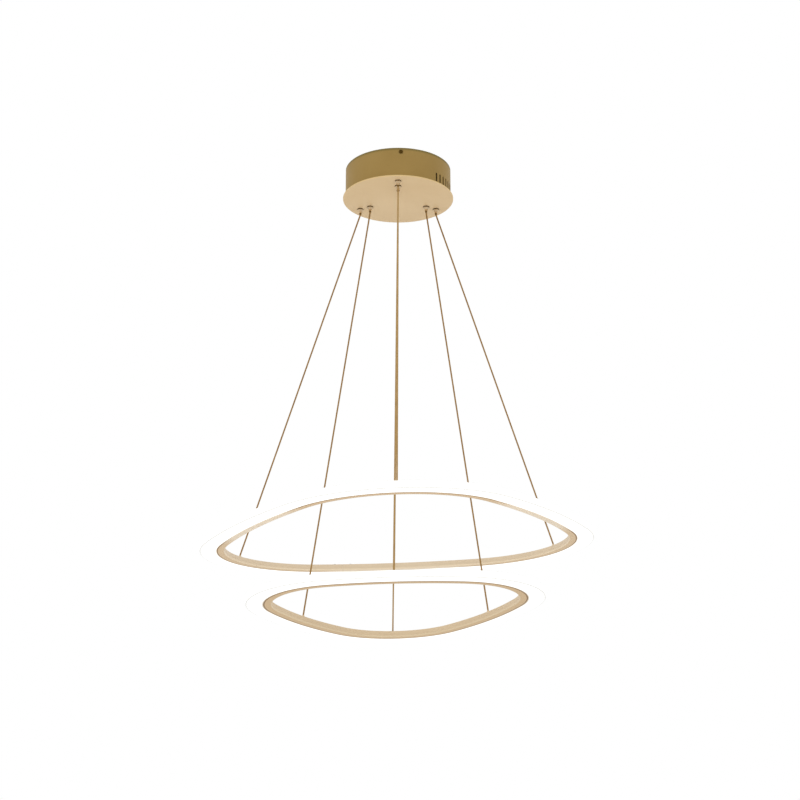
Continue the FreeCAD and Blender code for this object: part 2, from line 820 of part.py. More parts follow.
def make_frame(ring):
    """Gold channel: web on the inside of the ring, open outwards, with a seam where it closes."""
    body = new_body("%s_ring_frame" % ring.name)
    ring.layer(body, "web", 0, s.web_wall, 0, s.band_height)
    depth = s.band_height - s.flange_wall
    ring.layer(body, "lower_flange", s.web_wall, s.band_width, 0, s.flange_wall)
    ring.layer(body, "upper_flange", s.web_wall, s.band_width, depth, s.flange_wall)
    ring.slit(body, "seam", ring.seam, s.seam_width)
    sketch = new_sketch(body, "top_holes", "XY_Plane", s.band_height + s.overrun)
    turns = [math.radians(angle) for angle in ring.holds.values()] + [ring.entry]
    for turn in turns:
        circle(sketch, *ring.point(turn, s.band_width / 2), s.anchor_shank_radius + s.anchor_gap)
    for turn in joiner_screw_turns(ring):
        circle(sketch, *ring.point(ring.seam + turn, joiner_middle()),
               s.joiner_screw_radius + s.joiner_gap)
    pocket(body, "top_hole_cut", sketch, s.flange_wall + 2 * s.overrun)
    put(body, ring.place)


def make_diffuser(ring):
    """Opal profile: a hollow rounded box whose tongues slide into the channel."""
    body = new_body("%s_ring_diffuser" % ring.name)
    start = s.band_width + s.diffuser_gap
    end = s.band_width + s.diffuser_width
    wall = s.diffuser_wall
    inner_rib = start + s.rib_width
    ring.layer(body, "outer_wall", end - wall, end, 0, s.diffuser_height)
    ring.layer(body, "lower_wall", start, end - wall, 0, wall)
    ring.layer(body, "upper_wall", start, end - wall, s.diffuser_height - wall, wall)
    low = s.flange_wall + s.diffuser_gap
    high = s.band_height - s.flange_wall - s.diffuser_gap - s.tongue_thickness
    tongue = s.band_width - s.tongue_reach
    ring.layer(body, "lower_rib", start, inner_rib, wall, low + s.tongue_thickness - wall)
    ring.layer(body, "upper_rib", start, inner_rib, high, s.diffuser_height - wall - high)
    ring.layer(body, "lower_tongue", tongue, start, low, s.tongue_thickness)
    last = ring.layer(body, "upper_tongue", tongue, start, high, s.tongue_thickness)
    limits = [ring.spot_at(middle, end, 0) for middle, spread, corner in ring.arcs()]

    def outside(edge):
        """Whether an edge lies on the outermost outline: its middle is that of an arc there."""
        middle = edge.valueAt((edge.FirstParameter + edge.LastParameter) / 2)
        flat = V(middle.x, middle.y, 0)
        return any(flat.distanceToPoint(limit) < float(s.diffuser_gap) for limit in limits)

    eased(body, "Chamfer", "edges", last, outside, s.diffuser_bevel)
    put(body, ring.place)


def make_led_strip(ring):
    """Flexible board on the channel's web, with its light-emitting packages."""
    board = new_body("%s_led_board" % ring.name, kept=False)
    ring.layer(board, "board", s.web_wall, s.web_wall + s.board_thickness, s.board_rise,
               s.board_width)
    ring.slit(board, "ends", ring.entry, s.board_end_gap)
    put(board, ring.place)
    face = float(s.web_wall) + float(s.board_thickness) + float(s.led_gap)
    boxes = []
    for middle, spread, corner in ring.arcs():
        radius = float(ring.arc_radius(corner)) + face
        count = round(2 * spread * radius / float(s.led_pitch))
        for number in range(count):
            normal = middle + spread * ((2 * number + 1) / count - 1)
            box = Part.makeBox(float(s.led_thickness), float(s.led_length), float(s.led_width),
                               V(0, -float(s.led_length) / 2, -float(s.led_width) / 2))
            height = float(s.board_rise) + float(s.board_width) / 2
            spin = FreeCAD.Rotation(V(0, 0, 1), math.degrees(normal))
            seat = FreeCAD.Placement(ring.spot_at(normal, face, height), spin)
            box.Placement = seat.multiply(box.Placement)
            boxes.append(box)
    lights = doc.addObject("Part::Feature", "%s_leds" % ring.name)
    lights.Shape = Part.makeCompound(boxes)
    lights.Placement = placement(ring.place)
    group("%s_led_strip" % ring.name, [board, lights])


def joiner_middle():
    return s.joiner_inset + s.joiner_width / 2


def joiner_screw_turns(ring):
    half = float(s.joiner_screw_spread / 2 / (ring.side_radius + joiner_middle()))
    return (-half, half)


def make_joiner(ring):
    """Short curved plate under the upper flange that joins the channel's ends, and its screws."""
    body = new_body("%s_ring_joiner" % ring.name)
    top = s.band_height - s.flange_wall - s.joiner_gap
    inner = ring.side_radius + s.joiner_inset
    angle = s.joiner_length / ring.side_radius * math.degrees(1)
    turned(body, "plate", [
        (inner, top - s.joiner_thickness), (inner + s.joiner_width, top - s.joiner_thickness),
        (inner + s.joiner_width, top), (inner, top)], angle)
    sketch = new_sketch(body, "holes", "XY_Plane", top + s.overrun)
    half = float(angle) / 2
    for turn in joiner_screw_turns(ring):
        x, y = on_circle(ring.side_radius + joiner_middle(), half + math.degrees(turn))
        circle(sketch, x, y, s.joiner_screw_radius + s.joiner_gap)
    pocket(body, "hole_cut", sketch, s.joiner_thickness + 2 * s.overrun)
    x, y = ring.arc_centre(ring.seam_side, False)
    put(body, (x, y, 0, math.degrees(ring.seam) - half, 0, 0), ring.place)
    members = []
    for number, turn in enumerate(joiner_screw_turns(ring), 1):
        length = s.flange_wall + s.joiner_thickness
        piece = screw("%s_joiner_screw_%d" % (ring.name, number), s.joiner_screw_radius, length,
                      s.joiner_screw_head_radius, s.joiner_screw_head_height)
        x, y = ring.point(ring.seam + turn, joiner_middle())
        put(piece, (x, y, s.band_height, 0, 0, 0), ring.place)
        members.append(piece)
    group("%s_joiner_screws" % ring.name, members)


def make_anchors(ring):
    """Ferrules that the cables' ends are crimped in, held in the channel's upper flange."""
    members = []
    collar = -s.flange_wall - s.anchor_collar_height
    for side, angle in ring.holds.items():
        piece = new_body("%s_anchor_%s" % (ring.name, side), kept=False)
        turned(piece, "ferrule", [
            (0, collar), (s.anchor_collar_radius, collar),
            (s.anchor_collar_radius, -s.flange_wall), (s.anchor_shank_radius, -s.flange_wall),
            (s.anchor_shank_radius, 0), (s.anchor_base_radius, 0),
            (s.anchor_base_radius, s.anchor_base_height),
            (s.anchor_tip_radius, s.anchor_height), (0, s.anchor_height)])
        x, y = ring.point(math.radians(angle), s.band_width / 2)
        put(piece, (x, y, s.band_height, 0, 0, 0), ring.place)
        members.append(piece)
    group("%s_cable_anchors" % ring.name, members)


def make_grommet(ring):
    """Soft plug in the upper flange, where the ring's lead goes in."""
    body = new_body("%s_ring_grommet" % ring.name)
    collar = -s.flange_wall - s.grommet_height
    turned(body, "plug", [
        (0, collar), (s.anchor_collar_radius, collar), (s.anchor_collar_radius, -s.flange_wall),
        (s.anchor_shank_radius, -s.flange_wall), (s.anchor_shank_radius, 0),
        (s.grommet_radius, 0), (s.grommet_radius, s.grommet_height), (0, s.grommet_height)])
    x, y = ring.point(ring.entry, s.band_width / 2)
    put(body, (x, y, s.band_height, 0, 0, 0), ring.place)


# Cables: each free stretch is straight, because it carries the ring

def stretch(label, top, bottom, radius):
    """A taut round cable between two points, its ends cut level."""
    way = bottom - top
    spare = way * (SPARE_SHARE * float(radius) / way.Length)
    tube = Part.makeCylinder(float(radius), way.Length + 2 * spare.Length, top - spare, way)
    reach = float(s.large_ring_width)
    slab = Part.makeBox(reach, reach, top.z - bottom.z, V(-reach / 2, -reach / 2, bottom.z))
    piece = doc.addObject("Part::Feature", label)
    piece.Label = label
    piece.Shape = tube.common(slab).Solids[0]
    nodes.append(piece)
    print("%s: %.1f long, from (%.2f, %.2f, %.2f) to (%.2f, %.2f, %.2f)"
          % (label, way.Length, top.x, top.y, top.z, bottom.x, bottom.y, bottom.z))


def tail_foot():
    return disc_face + plunger_tip - s.tail_drop


def make_cables(ring):
    frame = placement(ring.place)
    for side, angle in HOLD_ANGLES.items():
        x, y = on_circle(float(gripper_circle(ring.name)), angle)
        top = V(x, y, float(tail_foot()))
        tip = ring.spot_at(math.radians(ring.holds[side]), s.band_width / 2,
                           s.band_height + s.anchor_height)
        tilt = float(s.anchor_tip_radius) * math.radians(abs(float(ring.place[4])))
        bottom = frame.multVec(tip) + V(0, 0, tilt + float(s.seat_gap))
        stretch("%s_cable_%s" % (ring.name, side), top, bottom, s.cable_radius)


def make_lead(ring):
    frame = placement(ring.place)
    top = V(0, -float(bush_position), float(disc_face - s.bush_flange_height))
    tip = ring.spot_at(ring.entry, s.band_width / 2, s.band_height + s.grommet_height)
    tilt = float(s.grommet_radius) * math.radians(abs(float(ring.place[4])))
    bottom = frame.multVec(tip) + V(0, 0, tilt + float(s.seat_gap))
    stretch("%s_ring_lead" % ring.name, top, bottom, s.lead_radius)


def make_tails():
    """Ends of the cables inside the canopy, above the grippers and the bush."""
    members = []
    for ring in RINGS:
        for side, angle in HOLD_ANGLES.items():
            piece = new_body("%s_tail_%s" % (ring, side), kept=False)
            turned(piece, "tail", [
                (0, 0), (s.cable_radius, 0), (s.cable_radius, s.tail_rise - plunger_tip),
                (0, s.tail_rise - plunger_tip)])
            x, y = on_circle(gripper_circle(ring), angle)
            put(piece, (x, y, tail_foot(), 0, 0, 0))
            members.append(piece)
    piece = new_body("lead_tail", kept=False)
    turned(piece, "tail", [
        (0, -s.bush_flange_height), (s.lead_radius, -s.bush_flange_height),
        (s.lead_radius, s.tail_rise), (0, s.tail_rise)])
    put(piece, (0, -bush_position, disc_face, 0, 0, 0))
    members.append(piece)
    group("cable_tails", members)


# The large ring has a corner in front, the small ring has a corner behind
RINGS = {"large": Ring("large", -90, 90), "small": Ring("small", 90, 150)}

make_plate()
make_drum()
make_disc()
make_side_screws()
make_disc_nuts()
for name in RINGS:
    make_driver(name)
make_driver_screws()
make_terminal_block()
make_earth_screw()
for name, ring in RINGS.items():
    make_grippers(name)
    make_frame(ring)
    make_anchors(ring)
    make_diffuser(ring)
    make_led_strip(ring)
    make_joiner(ring)
    make_grommet(ring)
    make_cables(ring)
make_gripper_nuts()
make_lead_bush()
make_lead(RINGS["small"])
make_tails()
doc.recompute()

faults = [item.Label for item in doc.Objects if {"Invalid", "Error"} & set(item.State)]
faults += [item.Label for item in nodes if item.Shape.isNull() or not item.Shape.isValid()]
if faults:
    raise RuntimeError("failed: " + ", ".join(faults))

os.makedirs("parts", exist_ok=True)
for item in nodes:
    item.Shape.exportStep("parts/%s.step" % item.Label)
print("nodes: %d" % len(nodes))
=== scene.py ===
"""The pendant light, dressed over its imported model: a round gold canopy, thin cables, and two
glowing rounded-triangle rings. Lengths are in millimetres times mm, so everything is in metres.
"""
import bpy
import math
from collections import namedtuple
from mathutils import Euler, Matrix, Vector


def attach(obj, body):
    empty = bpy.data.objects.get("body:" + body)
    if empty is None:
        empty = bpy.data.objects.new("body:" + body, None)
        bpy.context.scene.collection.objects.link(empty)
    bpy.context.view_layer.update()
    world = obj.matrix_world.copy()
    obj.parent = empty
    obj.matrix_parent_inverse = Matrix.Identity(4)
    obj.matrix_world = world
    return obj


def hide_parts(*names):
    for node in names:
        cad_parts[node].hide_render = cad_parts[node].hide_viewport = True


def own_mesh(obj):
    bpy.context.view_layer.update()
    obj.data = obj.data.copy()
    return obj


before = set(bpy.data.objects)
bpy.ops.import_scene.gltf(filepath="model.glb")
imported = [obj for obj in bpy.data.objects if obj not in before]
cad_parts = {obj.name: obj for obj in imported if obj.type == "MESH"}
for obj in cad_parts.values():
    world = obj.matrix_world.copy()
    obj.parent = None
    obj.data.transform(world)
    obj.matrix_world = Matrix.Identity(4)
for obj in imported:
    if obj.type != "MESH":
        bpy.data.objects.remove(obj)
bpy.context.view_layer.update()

mm = 0.001


# Camera
# The picture is taken from well below the canopy and a little over two metres away, looking up.
# Place, lens and pitch were fitted to the outlines of both rings and of the canopy's disc.
camera = bpy.data.objects.new("camera", bpy.data.cameras.new("camera"))
camera.data.sensor_width = 36
camera.data.lens = 80.22
camera.location = (0.0026, -2.2459, -1.0854)
camera.rotation_euler = (math.radians(108.48), 0, 0)
bpy.context.collection.objects.link(camera)
bpy.context.scene.camera = camera


# Suspension cables and the small ring's lead
# Six thin twisted wire cables in tan jackets carry the rings, each pulled straight by its ring's
# weight between a gripper in the canopy and a ferrule on the ring. A lead like them feeds the
# small ring. The front cables and the lead have the same jacket painted a shade paler than those
# at the sides, as painted light.
CABLE_WIDTH = 2.1 * mm
LEAD_WIDTH = 2.0 * mm
STRANDS = 6
STRAND_PITCH = 9 * mm
CABLES = {
    "large_cable_front": ((0.00, -61.00, -52.80), (-0.90, -246.72, -520.02)),
    "large_cable_right": ((52.83, 30.50, -52.80), (211.54, 122.83, -500.82)),
    "large_cable_left": ((-52.83, 30.50, -52.80), (-215.08, 122.83, -516.69)),
    "small_cable_front": ((0.00, -45.00, -52.80), (-4.48, -140.28, -602.12)),
    "small_cable_right": ((38.97, 22.50, -52.80), (118.64, 70.53, -603.65)),
    "small_cable_left": ((-38.97, 22.50, -52.80), (-124.76, 70.53, -609.94)),
    "small_ring_lead": ((0.00, -31.00, -44.80), (-7.22, 171.28, -611.33)),
}


def colour(red, green, blue):
    """A colour given as it looks on a screen, 0 to 255, as the shader takes it."""
    parts = []
    for part in (red, green, blue):
        part /= 255
        parts.append(part / 12.92 if part <= 0.04045 else ((part + 0.055) / 1.055) ** 2.4)
    return (*parts, 1)


def new_finish(name, base, **plain):
    """A finish whose even values sit on the shader's own sockets."""
    finish = bpy.data.materials.new(name)
    finish.use_nodes = True
    finish.diffuse_color = base
    shader = finish.node_tree.nodes["Principled BSDF"]
    shader.inputs["Base Color"].default_value = base
    for socket, number in plain.items():
        shader.inputs[socket.replace("_", " ")].default_value = number
    return finish


def add(finish, kind, sockets, **settings):
    """Adds a node to a finish or the world. Each socket is set to a value or joined to a node."""
    tree = finish.node_tree
    made = tree.nodes.new("ShaderNode" + kind)
    for name, value in settings.items():
        setattr(made, name, value)
    for socket, value in sockets.items():
        if isinstance(value, bpy.types.NodeSocket):
            tree.links.new(value, made.inputs[socket])
        else:
            made.inputs[socket].default_value = value
    return made


def lead_to(finish, socket, value):
    """Joins a node's output to one of the shader's own sockets."""
    shader = finish.node_tree.nodes["Principled BSDF"]
    finish.node_tree.links.new(value, shader.inputs[socket])


def blended(finish, share, low, high):
    """Colour between two, by a share from 0 to 1."""
    mix = add(finish, "Mix", {"Factor": share, "A": low, "B": high}, data_type="RGBA")
    return mix.outputs["Result"]


def ranged(finish, value, old_low, old_high, new_low, new_high):
    """A value brought from one range to another and held inside it."""
    made = add(finish, "MapRange", {"Value": value, "From Min": old_low, "From Max": old_high,
                                    "To Min": new_low, "To Max": new_high})
    return made.outputs["Result"]


def noise(finish, place, scale, detail=2.0):
    """Soft noise, which lies mostly between 0.3 and 0.7."""
    made = add(finish, "TexNoise", {"Vector": place, "Scale": scale, "Detail": detail})
    return made.outputs["Fac"]


def stretched(finish, soft, low=0, high=1):
    """Soft noise brought to a range."""
    return ranged(finish, soft, 0.3, 0.7, low, high)


def parts_of(finish, vector):
    """A vector's X, Y and Z."""
    parts = add(finish, "SeparateXYZ", {"Vector": vector}).outputs
    return parts["X"], parts["Y"], parts["Z"]


def own_place(finish, stretch=(1, 1, 1)):
    """The point's place on the object, with its pattern drawn out along some axes."""
    source = add(finish, "TexCoord", {})
    made = add(finish, "Mapping", {"Vector": source.outputs["Object"], "Scale": stretch})
    return made.outputs["Vector"]


def relief(finish, height, depth, strength=0.5):
    """Fine bumps in the surface."""
    bump = add(finish, "Bump", {"Height": height, "Distance": depth, "Strength": strength})
    lead_to(finish, "Normal", bump.outputs["Normal"])


def worked(finish, operation, *numbers):
    """What a Math node makes of its numbers."""
    made = add(finish, "Math", dict(enumerate(numbers)), operation=operation)
    return made.outputs["Value"]


def sum_of(finish, first, second, share):
    """first + second * share"""
    return worked(finish, "MULTIPLY_ADD", second, share, first)


def make_cable_finish(name, base, dark, light):
    """A thin jacket over twisted strands, which follow the cable's own UV map."""
    finish = new_finish(name, base, Roughness=0.6, Specular_IOR_Level=0.12)
    source = add(finish, "UVMap", {}, uv_map="UVMap")
    along, around = parts_of(finish, source.outputs["UV"])[:2]
    turned = worked(finish, "MULTIPLY", around, STRANDS * 2 * math.pi)
    twist = sum_of(finish, turned, along, 2 * math.pi)
    strand = ranged(finish, worked(finish, "SINE", twist), -1, 1, 0, 1)
    cloudy = stretched(finish, noise(finish, own_place(finish), 90), 0, 0.3)
    tone = sum_of(finish, cloudy, strand, 0.7)
    lead_to(finish, "Base Color", blended(finish, tone, dark, light))
    relief(finish, strand, 0.05 * mm, 0.6)
    return finish


def alone(piece):
    """Picks one piece and nothing else."""
    bpy.ops.object.select_all(action="DESELECT")
    piece.select_set(True)
    bpy.context.view_layer.objects.active = piece


def smooth(piece, angle):
    """Shades a piece smooth, apart from the edges that are sharper than an angle."""
    alone(piece)
    bpy.ops.object.shade_smooth_by_angle(angle=math.radians(angle))


def dress(piece, finish, slot, body, *nodes):
    """Gives a piece its finish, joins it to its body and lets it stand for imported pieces."""
    piece.data.materials.clear()
    piece.data.materials.append(finish)
    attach(piece, body)
    if nodes:
        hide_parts(*nodes)


def make_cable(name, top, bottom, width, finish):
    """A round cable on its route's own spline, its two ends cut level."""
    line = bpy.data.curves.new("dressed_" + name, "CURVE")
    line.dimensions = "3D"
    spline = line.splines.new("NURBS")
    spline.points.add(1)
    spline.points[0].co = (*top, 1)
    spline.points[1].co = (*bottom, 1)
    spline.order_u = 3
    spline.use_endpoint_u = True
    cable = bpy.data.objects.new("dressed_" + name, line)
    bpy.context.collection.objects.link(cable)
    path = [point.co.copy() for point in bpy.data.meshes.new_from_object(cable).vertices]
    line.bevel_depth = width / 2
    line.bevel_resolution = 4
    line.resolution_u = 24
    line.use_fill_caps = True
    alone(cable)
    bpy.ops.object.convert(target="MESH")
    cable = bpy.context.object
    way = (bottom - top).normalized()
    rim = width * 0.51
    for point in cable.data.vertices:
        for end in (top, bottom):
            if (point.co - end).length < rim:
                point.co += way * ((end.z - point.co.z) / way.z)
    for corner in cable.data.uv_layers["UVMap"].data:
        corner.uv.x *= (bottom - top).length / STRAND_PITCH
    smooth(cable, 50)
    dress(cable, finish, "cable_jacket", "canopy", name)
    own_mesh(cable)


TAN = (colour(150, 115, 65), colour(127, 92, 47), colour(173, 138, 84))
side_jacket = make_cable_finish("cable_jacket", *TAN)
# Painted light: the same tan jacket, painted paler for the front cables and the lead.
lit_middle_jacket = make_cable_finish("lit_middle_cable_jacket", colour(168, 135, 84),
                                  colour(145, 112, 63), colour(191, 158, 105))
for name, ends in CABLES.items():
    top, bottom = [Vector(end) * mm for end in ends]
    width = LEAD_WIDTH if name == "small_ring_lead" else CABLE_WIDTH
    off_middle = name.endswith(("left", "right"))
    make_cable(name, top, bottom, width, side_jacket if off_middle else lit_middle_jacket)


# Ceiling plate
# A shallow pressed steel pan, zinc plated, that is screwed flat to the ceiling. It has a wire
# hole in the middle, two mounting slots, and a rim that the drum slips over.
def edit_all(piece):
    """Opens a piece for editing, with all of it selected."""
    alone(piece)
    bpy.ops.object.mode_set(mode="EDIT")
    bpy.ops.mesh.select_all(action="SELECT")


def eased_copy(node, ease):
    """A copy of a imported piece: its points merged, its flat faces whole and its edges eased."""
    copy = bpy.data.objects.new("dressed_" + node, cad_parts[node].data.copy())
    bpy.context.collection.objects.link(copy)
    edit_all(copy)
    bpy.ops.mesh.remove_doubles(threshold=0.002 * mm)
    bpy.ops.mesh.dissolve_limited(angle_limit=math.radians(0.5))
    bpy.ops.object.mode_set(mode="OBJECT")
    if ease:
        ease_edges(copy, ease)
    smooth(copy, 40)
    return copy


def ease_edges(piece, ease):
    """Rounds every edge that is sharper than 50 degrees."""
    alone(piece)
    rounding = piece.modifiers.new("ease", "BEVEL")
    rounding.width = ease
    rounding.segments = 2
    rounding.limit_method = "ANGLE"
    rounding.angle_limit = math.radians(50)
    rounding.use_clamp_overlap = True
    bpy.ops.object.modifier_apply(modifier="ease")


def make_zinc_finish():
    """Zinc plating: grey-white, with the spangle of its crystals."""
    finish = new_finish("zinc_plate", colour(172, 176, 180), Metallic=0.9, Roughness=0.42)
    place = own_place(finish)
    cells = add(finish, "TexVoronoi", {"Vector": place, "Scale": 140.0})
    spangle = add(finish, "SeparateColor", {"Color": cells.outputs["Color"]}).outputs["Red"]
    cloudy = stretched(finish, noise(finish, place, 14), 0, 0.5)
    tone = sum_of(finish, cloudy, spangle, 0.5)
    lead_to(finish, "Base Color",
            blended(finish, tone, colour(158, 162, 166), colour(190, 193, 196)))
    lead_to(finish, "Roughness", ranged(finish, spangle, 0, 1, 0.34, 0.5))
    relief(finish, noise(finish, place, 1100), 0.03 * mm)
    return finish


zinc_finish = make_zinc_finish()
dress(eased_copy("ceiling_plate", 0.25 * mm), zinc_finish, "zinc_plate", "canopy",
      "ceiling_plate")


# Drivers
# Two white moulded drivers, one for each ring, hang under the ceiling plate by their end ears.
# Each has a shallow panel let into its lower face.
def make_plastic_finish(name, base, dark, light, grain=1300, rough=0.5):
    """A moulded plastic: slightly cloudy, with the fine grain of its mould."""
    finish = new_finish(name, base, Roughness=rough, IOR=1.49)
    place = own_place(finish)
    cloudy = stretched(finish, noise(finish, place, 25, 4))
    lead_to(finish, "Base Color", blended(finish, cloudy, dark, light))
    grains = noise(finish, place, grain)
    lead_to(finish, "Roughness", stretched(finish, grains, rough - 0.06, rough + 0.08))
    relief(finish, grains, 0.04 * mm)
    return finish


def let_in_panel(piece, margin, depth, facing):
    """Insets a piece's largest face that looks one way, and presses it in."""
    faces = [face for face in piece.data.polygons if face.normal.dot(Vector(facing)) > 0.99]
    widest = max(faces, key=lambda face: face.area)
    alone(piece)
    bpy.ops.object.mode_set(mode="EDIT")
    bpy.ops.mesh.select_all(action="DESELECT")
    bpy.ops.object.mode_set(mode="OBJECT")
    for face in piece.data.polygons:
        face.select = face.index == widest.index
    bpy.ops.object.mode_set(mode="EDIT")
    bpy.ops.mesh.inset(thickness=margin, depth=0)
    bpy.ops.mesh.inset(thickness=depth, depth=-depth)
    bpy.ops.object.mode_set(mode="OBJECT")


driver_finish = make_plastic_finish("driver_case", colour(236, 236, 233), colour(230, 230, 226),
                                    colour(241, 241, 239))
for node in ("driver_large_ring", "driver_small_ring"):
    driver = eased_copy(node, 0)
    let_in_panel(driver, 2.5 * mm, 0.5 * mm, (0, 0, -1))
    ease_edges(driver, 0.35 * mm)
    smooth(driver, 40)
    dress(driver, driver_finish, "driver_case", "canopy", node)


# Small steel screws of the wiring gear
# Zinc-plated pan-head screws hold the drivers' ears to the ceiling plate, and one more takes the
# earth wire.
EAR_FACE = -3.5
EAR_SCREWS = [(35, 29), (-35, 29), (29, -29), (-29, -29)]
PLATE_FACE = -1.5
EARTH_SCREW = (-32, 0)


def draw_outline(name, points, rounding=0.0):
    """A closed wire outline of (out, up) points, standing in the XZ plane, corners rounded."""
    bpy.ops.mesh.primitive_circle_add(vertices=len(points))
    piece = bpy.context.object
    piece.name = piece.data.name = name
    for corner, (out, up) in zip(piece.data.vertices, points):
        corner.co = (out * mm, 0, up * mm)
    if rounding:
        edit_all(piece)
        bpy.ops.mesh.bevel(offset=rounding * mm, segments=2, affect="VERTICES")
        bpy.ops.object.mode_set(mode="OBJECT")
    return piece


def close_up(piece, round_angle=38):
    """Merges the ends of a spun mesh, clears what is loose and turns its faces outwards."""
    edit_all(piece)
    bpy.ops.mesh.remove_doubles(threshold=0.004 * mm)
    bpy.ops.mesh.delete_loose(use_verts=True, use_edges=True)
    bpy.ops.mesh.select_all(action="SELECT")
    bpy.ops.mesh.normals_make_consistent(inside=False)
    bpy.ops.object.mode_set(mode="OBJECT")
    smooth(piece, round_angle)


def turn_on_lathe(name, points, sides, rounding=0.0):
    """A turned piece about the Z axis."""
    piece = draw_outline(name, points, rounding)
    edit_all(piece)
    bpy.ops.mesh.spin(steps=sides, angle=2 * math.pi, center=(0, 0, 0), axis=(0, 0, 1))
    bpy.ops.object.mode_set(mode="OBJECT")
    close_up(piece)
    return piece


def cut_with(piece, cutter, operation="DIFFERENCE"):
    """Takes a cutter's shape out of a piece, or keeps only what they share. The cutter goes."""
    alone(piece)
    cut = piece.modifiers.new("cut", "BOOLEAN")
    cut.operation = operation
    cut.solver = "EXACT"
    cut.object = cutter
    bpy.ops.object.modifier_apply(modifier="cut")
    bpy.data.objects.remove(cutter)


def joined(name, pieces):
    """Joins modelled pieces as one."""
    alone(pieces[0])
    for piece in pieces[1:]:
        piece.select_set(True)
    if len(pieces) > 1:
        bpy.ops.object.join()
    pieces[0].name = pieces[0].data.name = name
    return pieces[0]


def block(length, width, height, middle, turn=0.0):
    """A plain cutter box."""
    bpy.ops.mesh.primitive_cube_add(size=1)
    box = bpy.context.object
    box.data.transform(Matrix.Rotation(turn, 4, "Z") @ Matrix.Translation(middle)
                       @ Matrix.Diagonal((length, width, height, 1)))
    return box


def make_screw(name, shank, length, head, height):
    """A pan-head screw with a cross recess: its seat at height zero, its shank pointing down."""
    crown = [(head * math.cos(turn), height * (0.45 + 0.55 * math.sin(turn)))
             for turn in (0, 0.35, 0.7, 1.05, 1.35)]
    piece = turn_on_lathe(name, [(0, -length), (shank * 0.7, -length),
                                 (shank, -length + shank * 0.3), (shank, 0), (head * 0.97, 0)]
                          + crown + [(0, height)], 32)
    arm = head * 1.1 * mm
    slot_wall = head * 0.2 * mm
    depth = height * 0.55 * mm
    middle = Vector((0, 0, (height - height * 0.27 + 0.02) * mm))
    for turn in (0, math.pi / 2):
        cut_with(piece, block(arm, slot_wall, depth, middle, turn))
    smooth(piece, 38)
    return piece


def set_out(model, name, places):
    """Copies a modelled piece to each place and joins the copies. The model itself goes."""
    copies = []
    for place in places:
        copy = bpy.data.objects.new(name, model.data.copy())
        copy.data.transform(place)
        bpy.context.collection.objects.link(copy)
        copies.append(copy)
    bpy.data.objects.remove(model)
    return joined(name, copies)


def spot(x, y, z, turn=0.0):
    """A place on the canopy: a point in millimetres and a turn about the upright."""
    return Matrix.Translation(Vector((x, y, z)) * mm) @ Matrix.Rotation(turn, 4, "Z")


def make_metal_finish(name, base, dark, light, rough, grain=(60, 60, 2600)):
    """A metal with fine tool marks, drawn out along the axes where grain is small."""
    finish = new_finish(name, base, Metallic=1.0)
    marks = noise(finish, own_place(finish, grain), 1.0, 4)
    cloudy = stretched(finish, noise(finish, own_place(finish), 60), 0, 0.5)
    tone = sum_of(finish, cloudy, stretched(finish, marks), 0.5)
    lead_to(finish, "Base Color", blended(finish, tone, dark, light))
    lead_to(finish, "Roughness", stretched(finish, marks, rough - 0.06, rough + 0.08))
    relief(finish, marks, 0.02 * mm)
    return finish


steel_finish = make_metal_finish("zinc_screw", colour(180, 181, 184), colour(164, 165, 168),
                                 colour(196, 197, 199), 0.34)
upside_down = Matrix.Rotation(math.pi, 4, "X")
driver_screws = set_out(make_screw("driver_screw", 1.5, 3.5, 2.8, 1.8), "dressed_driver_screws",
                        [spot(x, y, EAR_FACE) @ upside_down for x, y in EAR_SCREWS])
dress(driver_screws, steel_finish, "steel_fastener", "canopy", "driver_screws")
earth_screw = set_out(make_screw("earth", 1.5, 1.5, 2.8, 1.8), "dressed_earth_screw",
                      [spot(*EARTH_SCREW, PLATE_FACE) @ upside_down])
dress(earth_screw, steel_finish, "steel_fastener", "canopy", "earth_screw")


# Terminal block
# A natural nylon block where the supply wires meet the drivers' leads, with three sunk screws
# and a wire entry at both sides of each.
TERMINAL_FACE = -10.5
TERMINALS = [(36, -8), (36, 0), (36, 8)]
ENTRY_HEIGHT = -8
laid_down = Matrix.Rotation(math.pi / 2, 4, "Y")


def cylinder(radius, length, sides):
    """A plain upright cylinder about the origin."""
    bpy.ops.mesh.primitive_cylinder_add(vertices=sides, radius=radius * mm, depth=length * mm)
    return bpy.context.object


terminal_finish = make_plastic_finish("terminal_plastic", colour(224, 222, 214),
                                      colour(216, 213, 203), colour(230, 228, 221),
                                      grain=900, rough=0.42)
terminal_block = eased_copy("terminal_block", 0)
for x, y in TERMINALS:
    entry = cylinder(1.9, 30, 24)
    entry.data.transform(spot(x, y, ENTRY_HEIGHT) @ laid_down)
    cut_with(terminal_block, entry)
ease_edges(terminal_block, 0.3 * mm)
smooth(terminal_block, 40)
dress(terminal_block, terminal_finish, "terminal_plastic", "canopy", "terminal_block")


def make_grub_screw(name, radius, depth):
    """A headless screw with a straight slot across its face."""
    piece = turn_on_lathe(name, [(0, 0), (radius, 0), (radius, -depth), (0, -depth)], 24, 0.15)
    width = radius * 3 * mm
    cut_with(piece, block(width, 0.5 * mm, 1 * mm, Vector((0, 0, -depth * mm))))
    smooth(piece, 38)
    return piece


terminal_screws = set_out(make_grub_screw("grub", 1.6, 4.0), "dressed_terminal_screws",
                          [spot(x, y, TERMINAL_FACE) for x, y in TERMINALS])
dress(terminal_screws, steel_finish, "steel_fastener", "canopy", "terminal_screws")
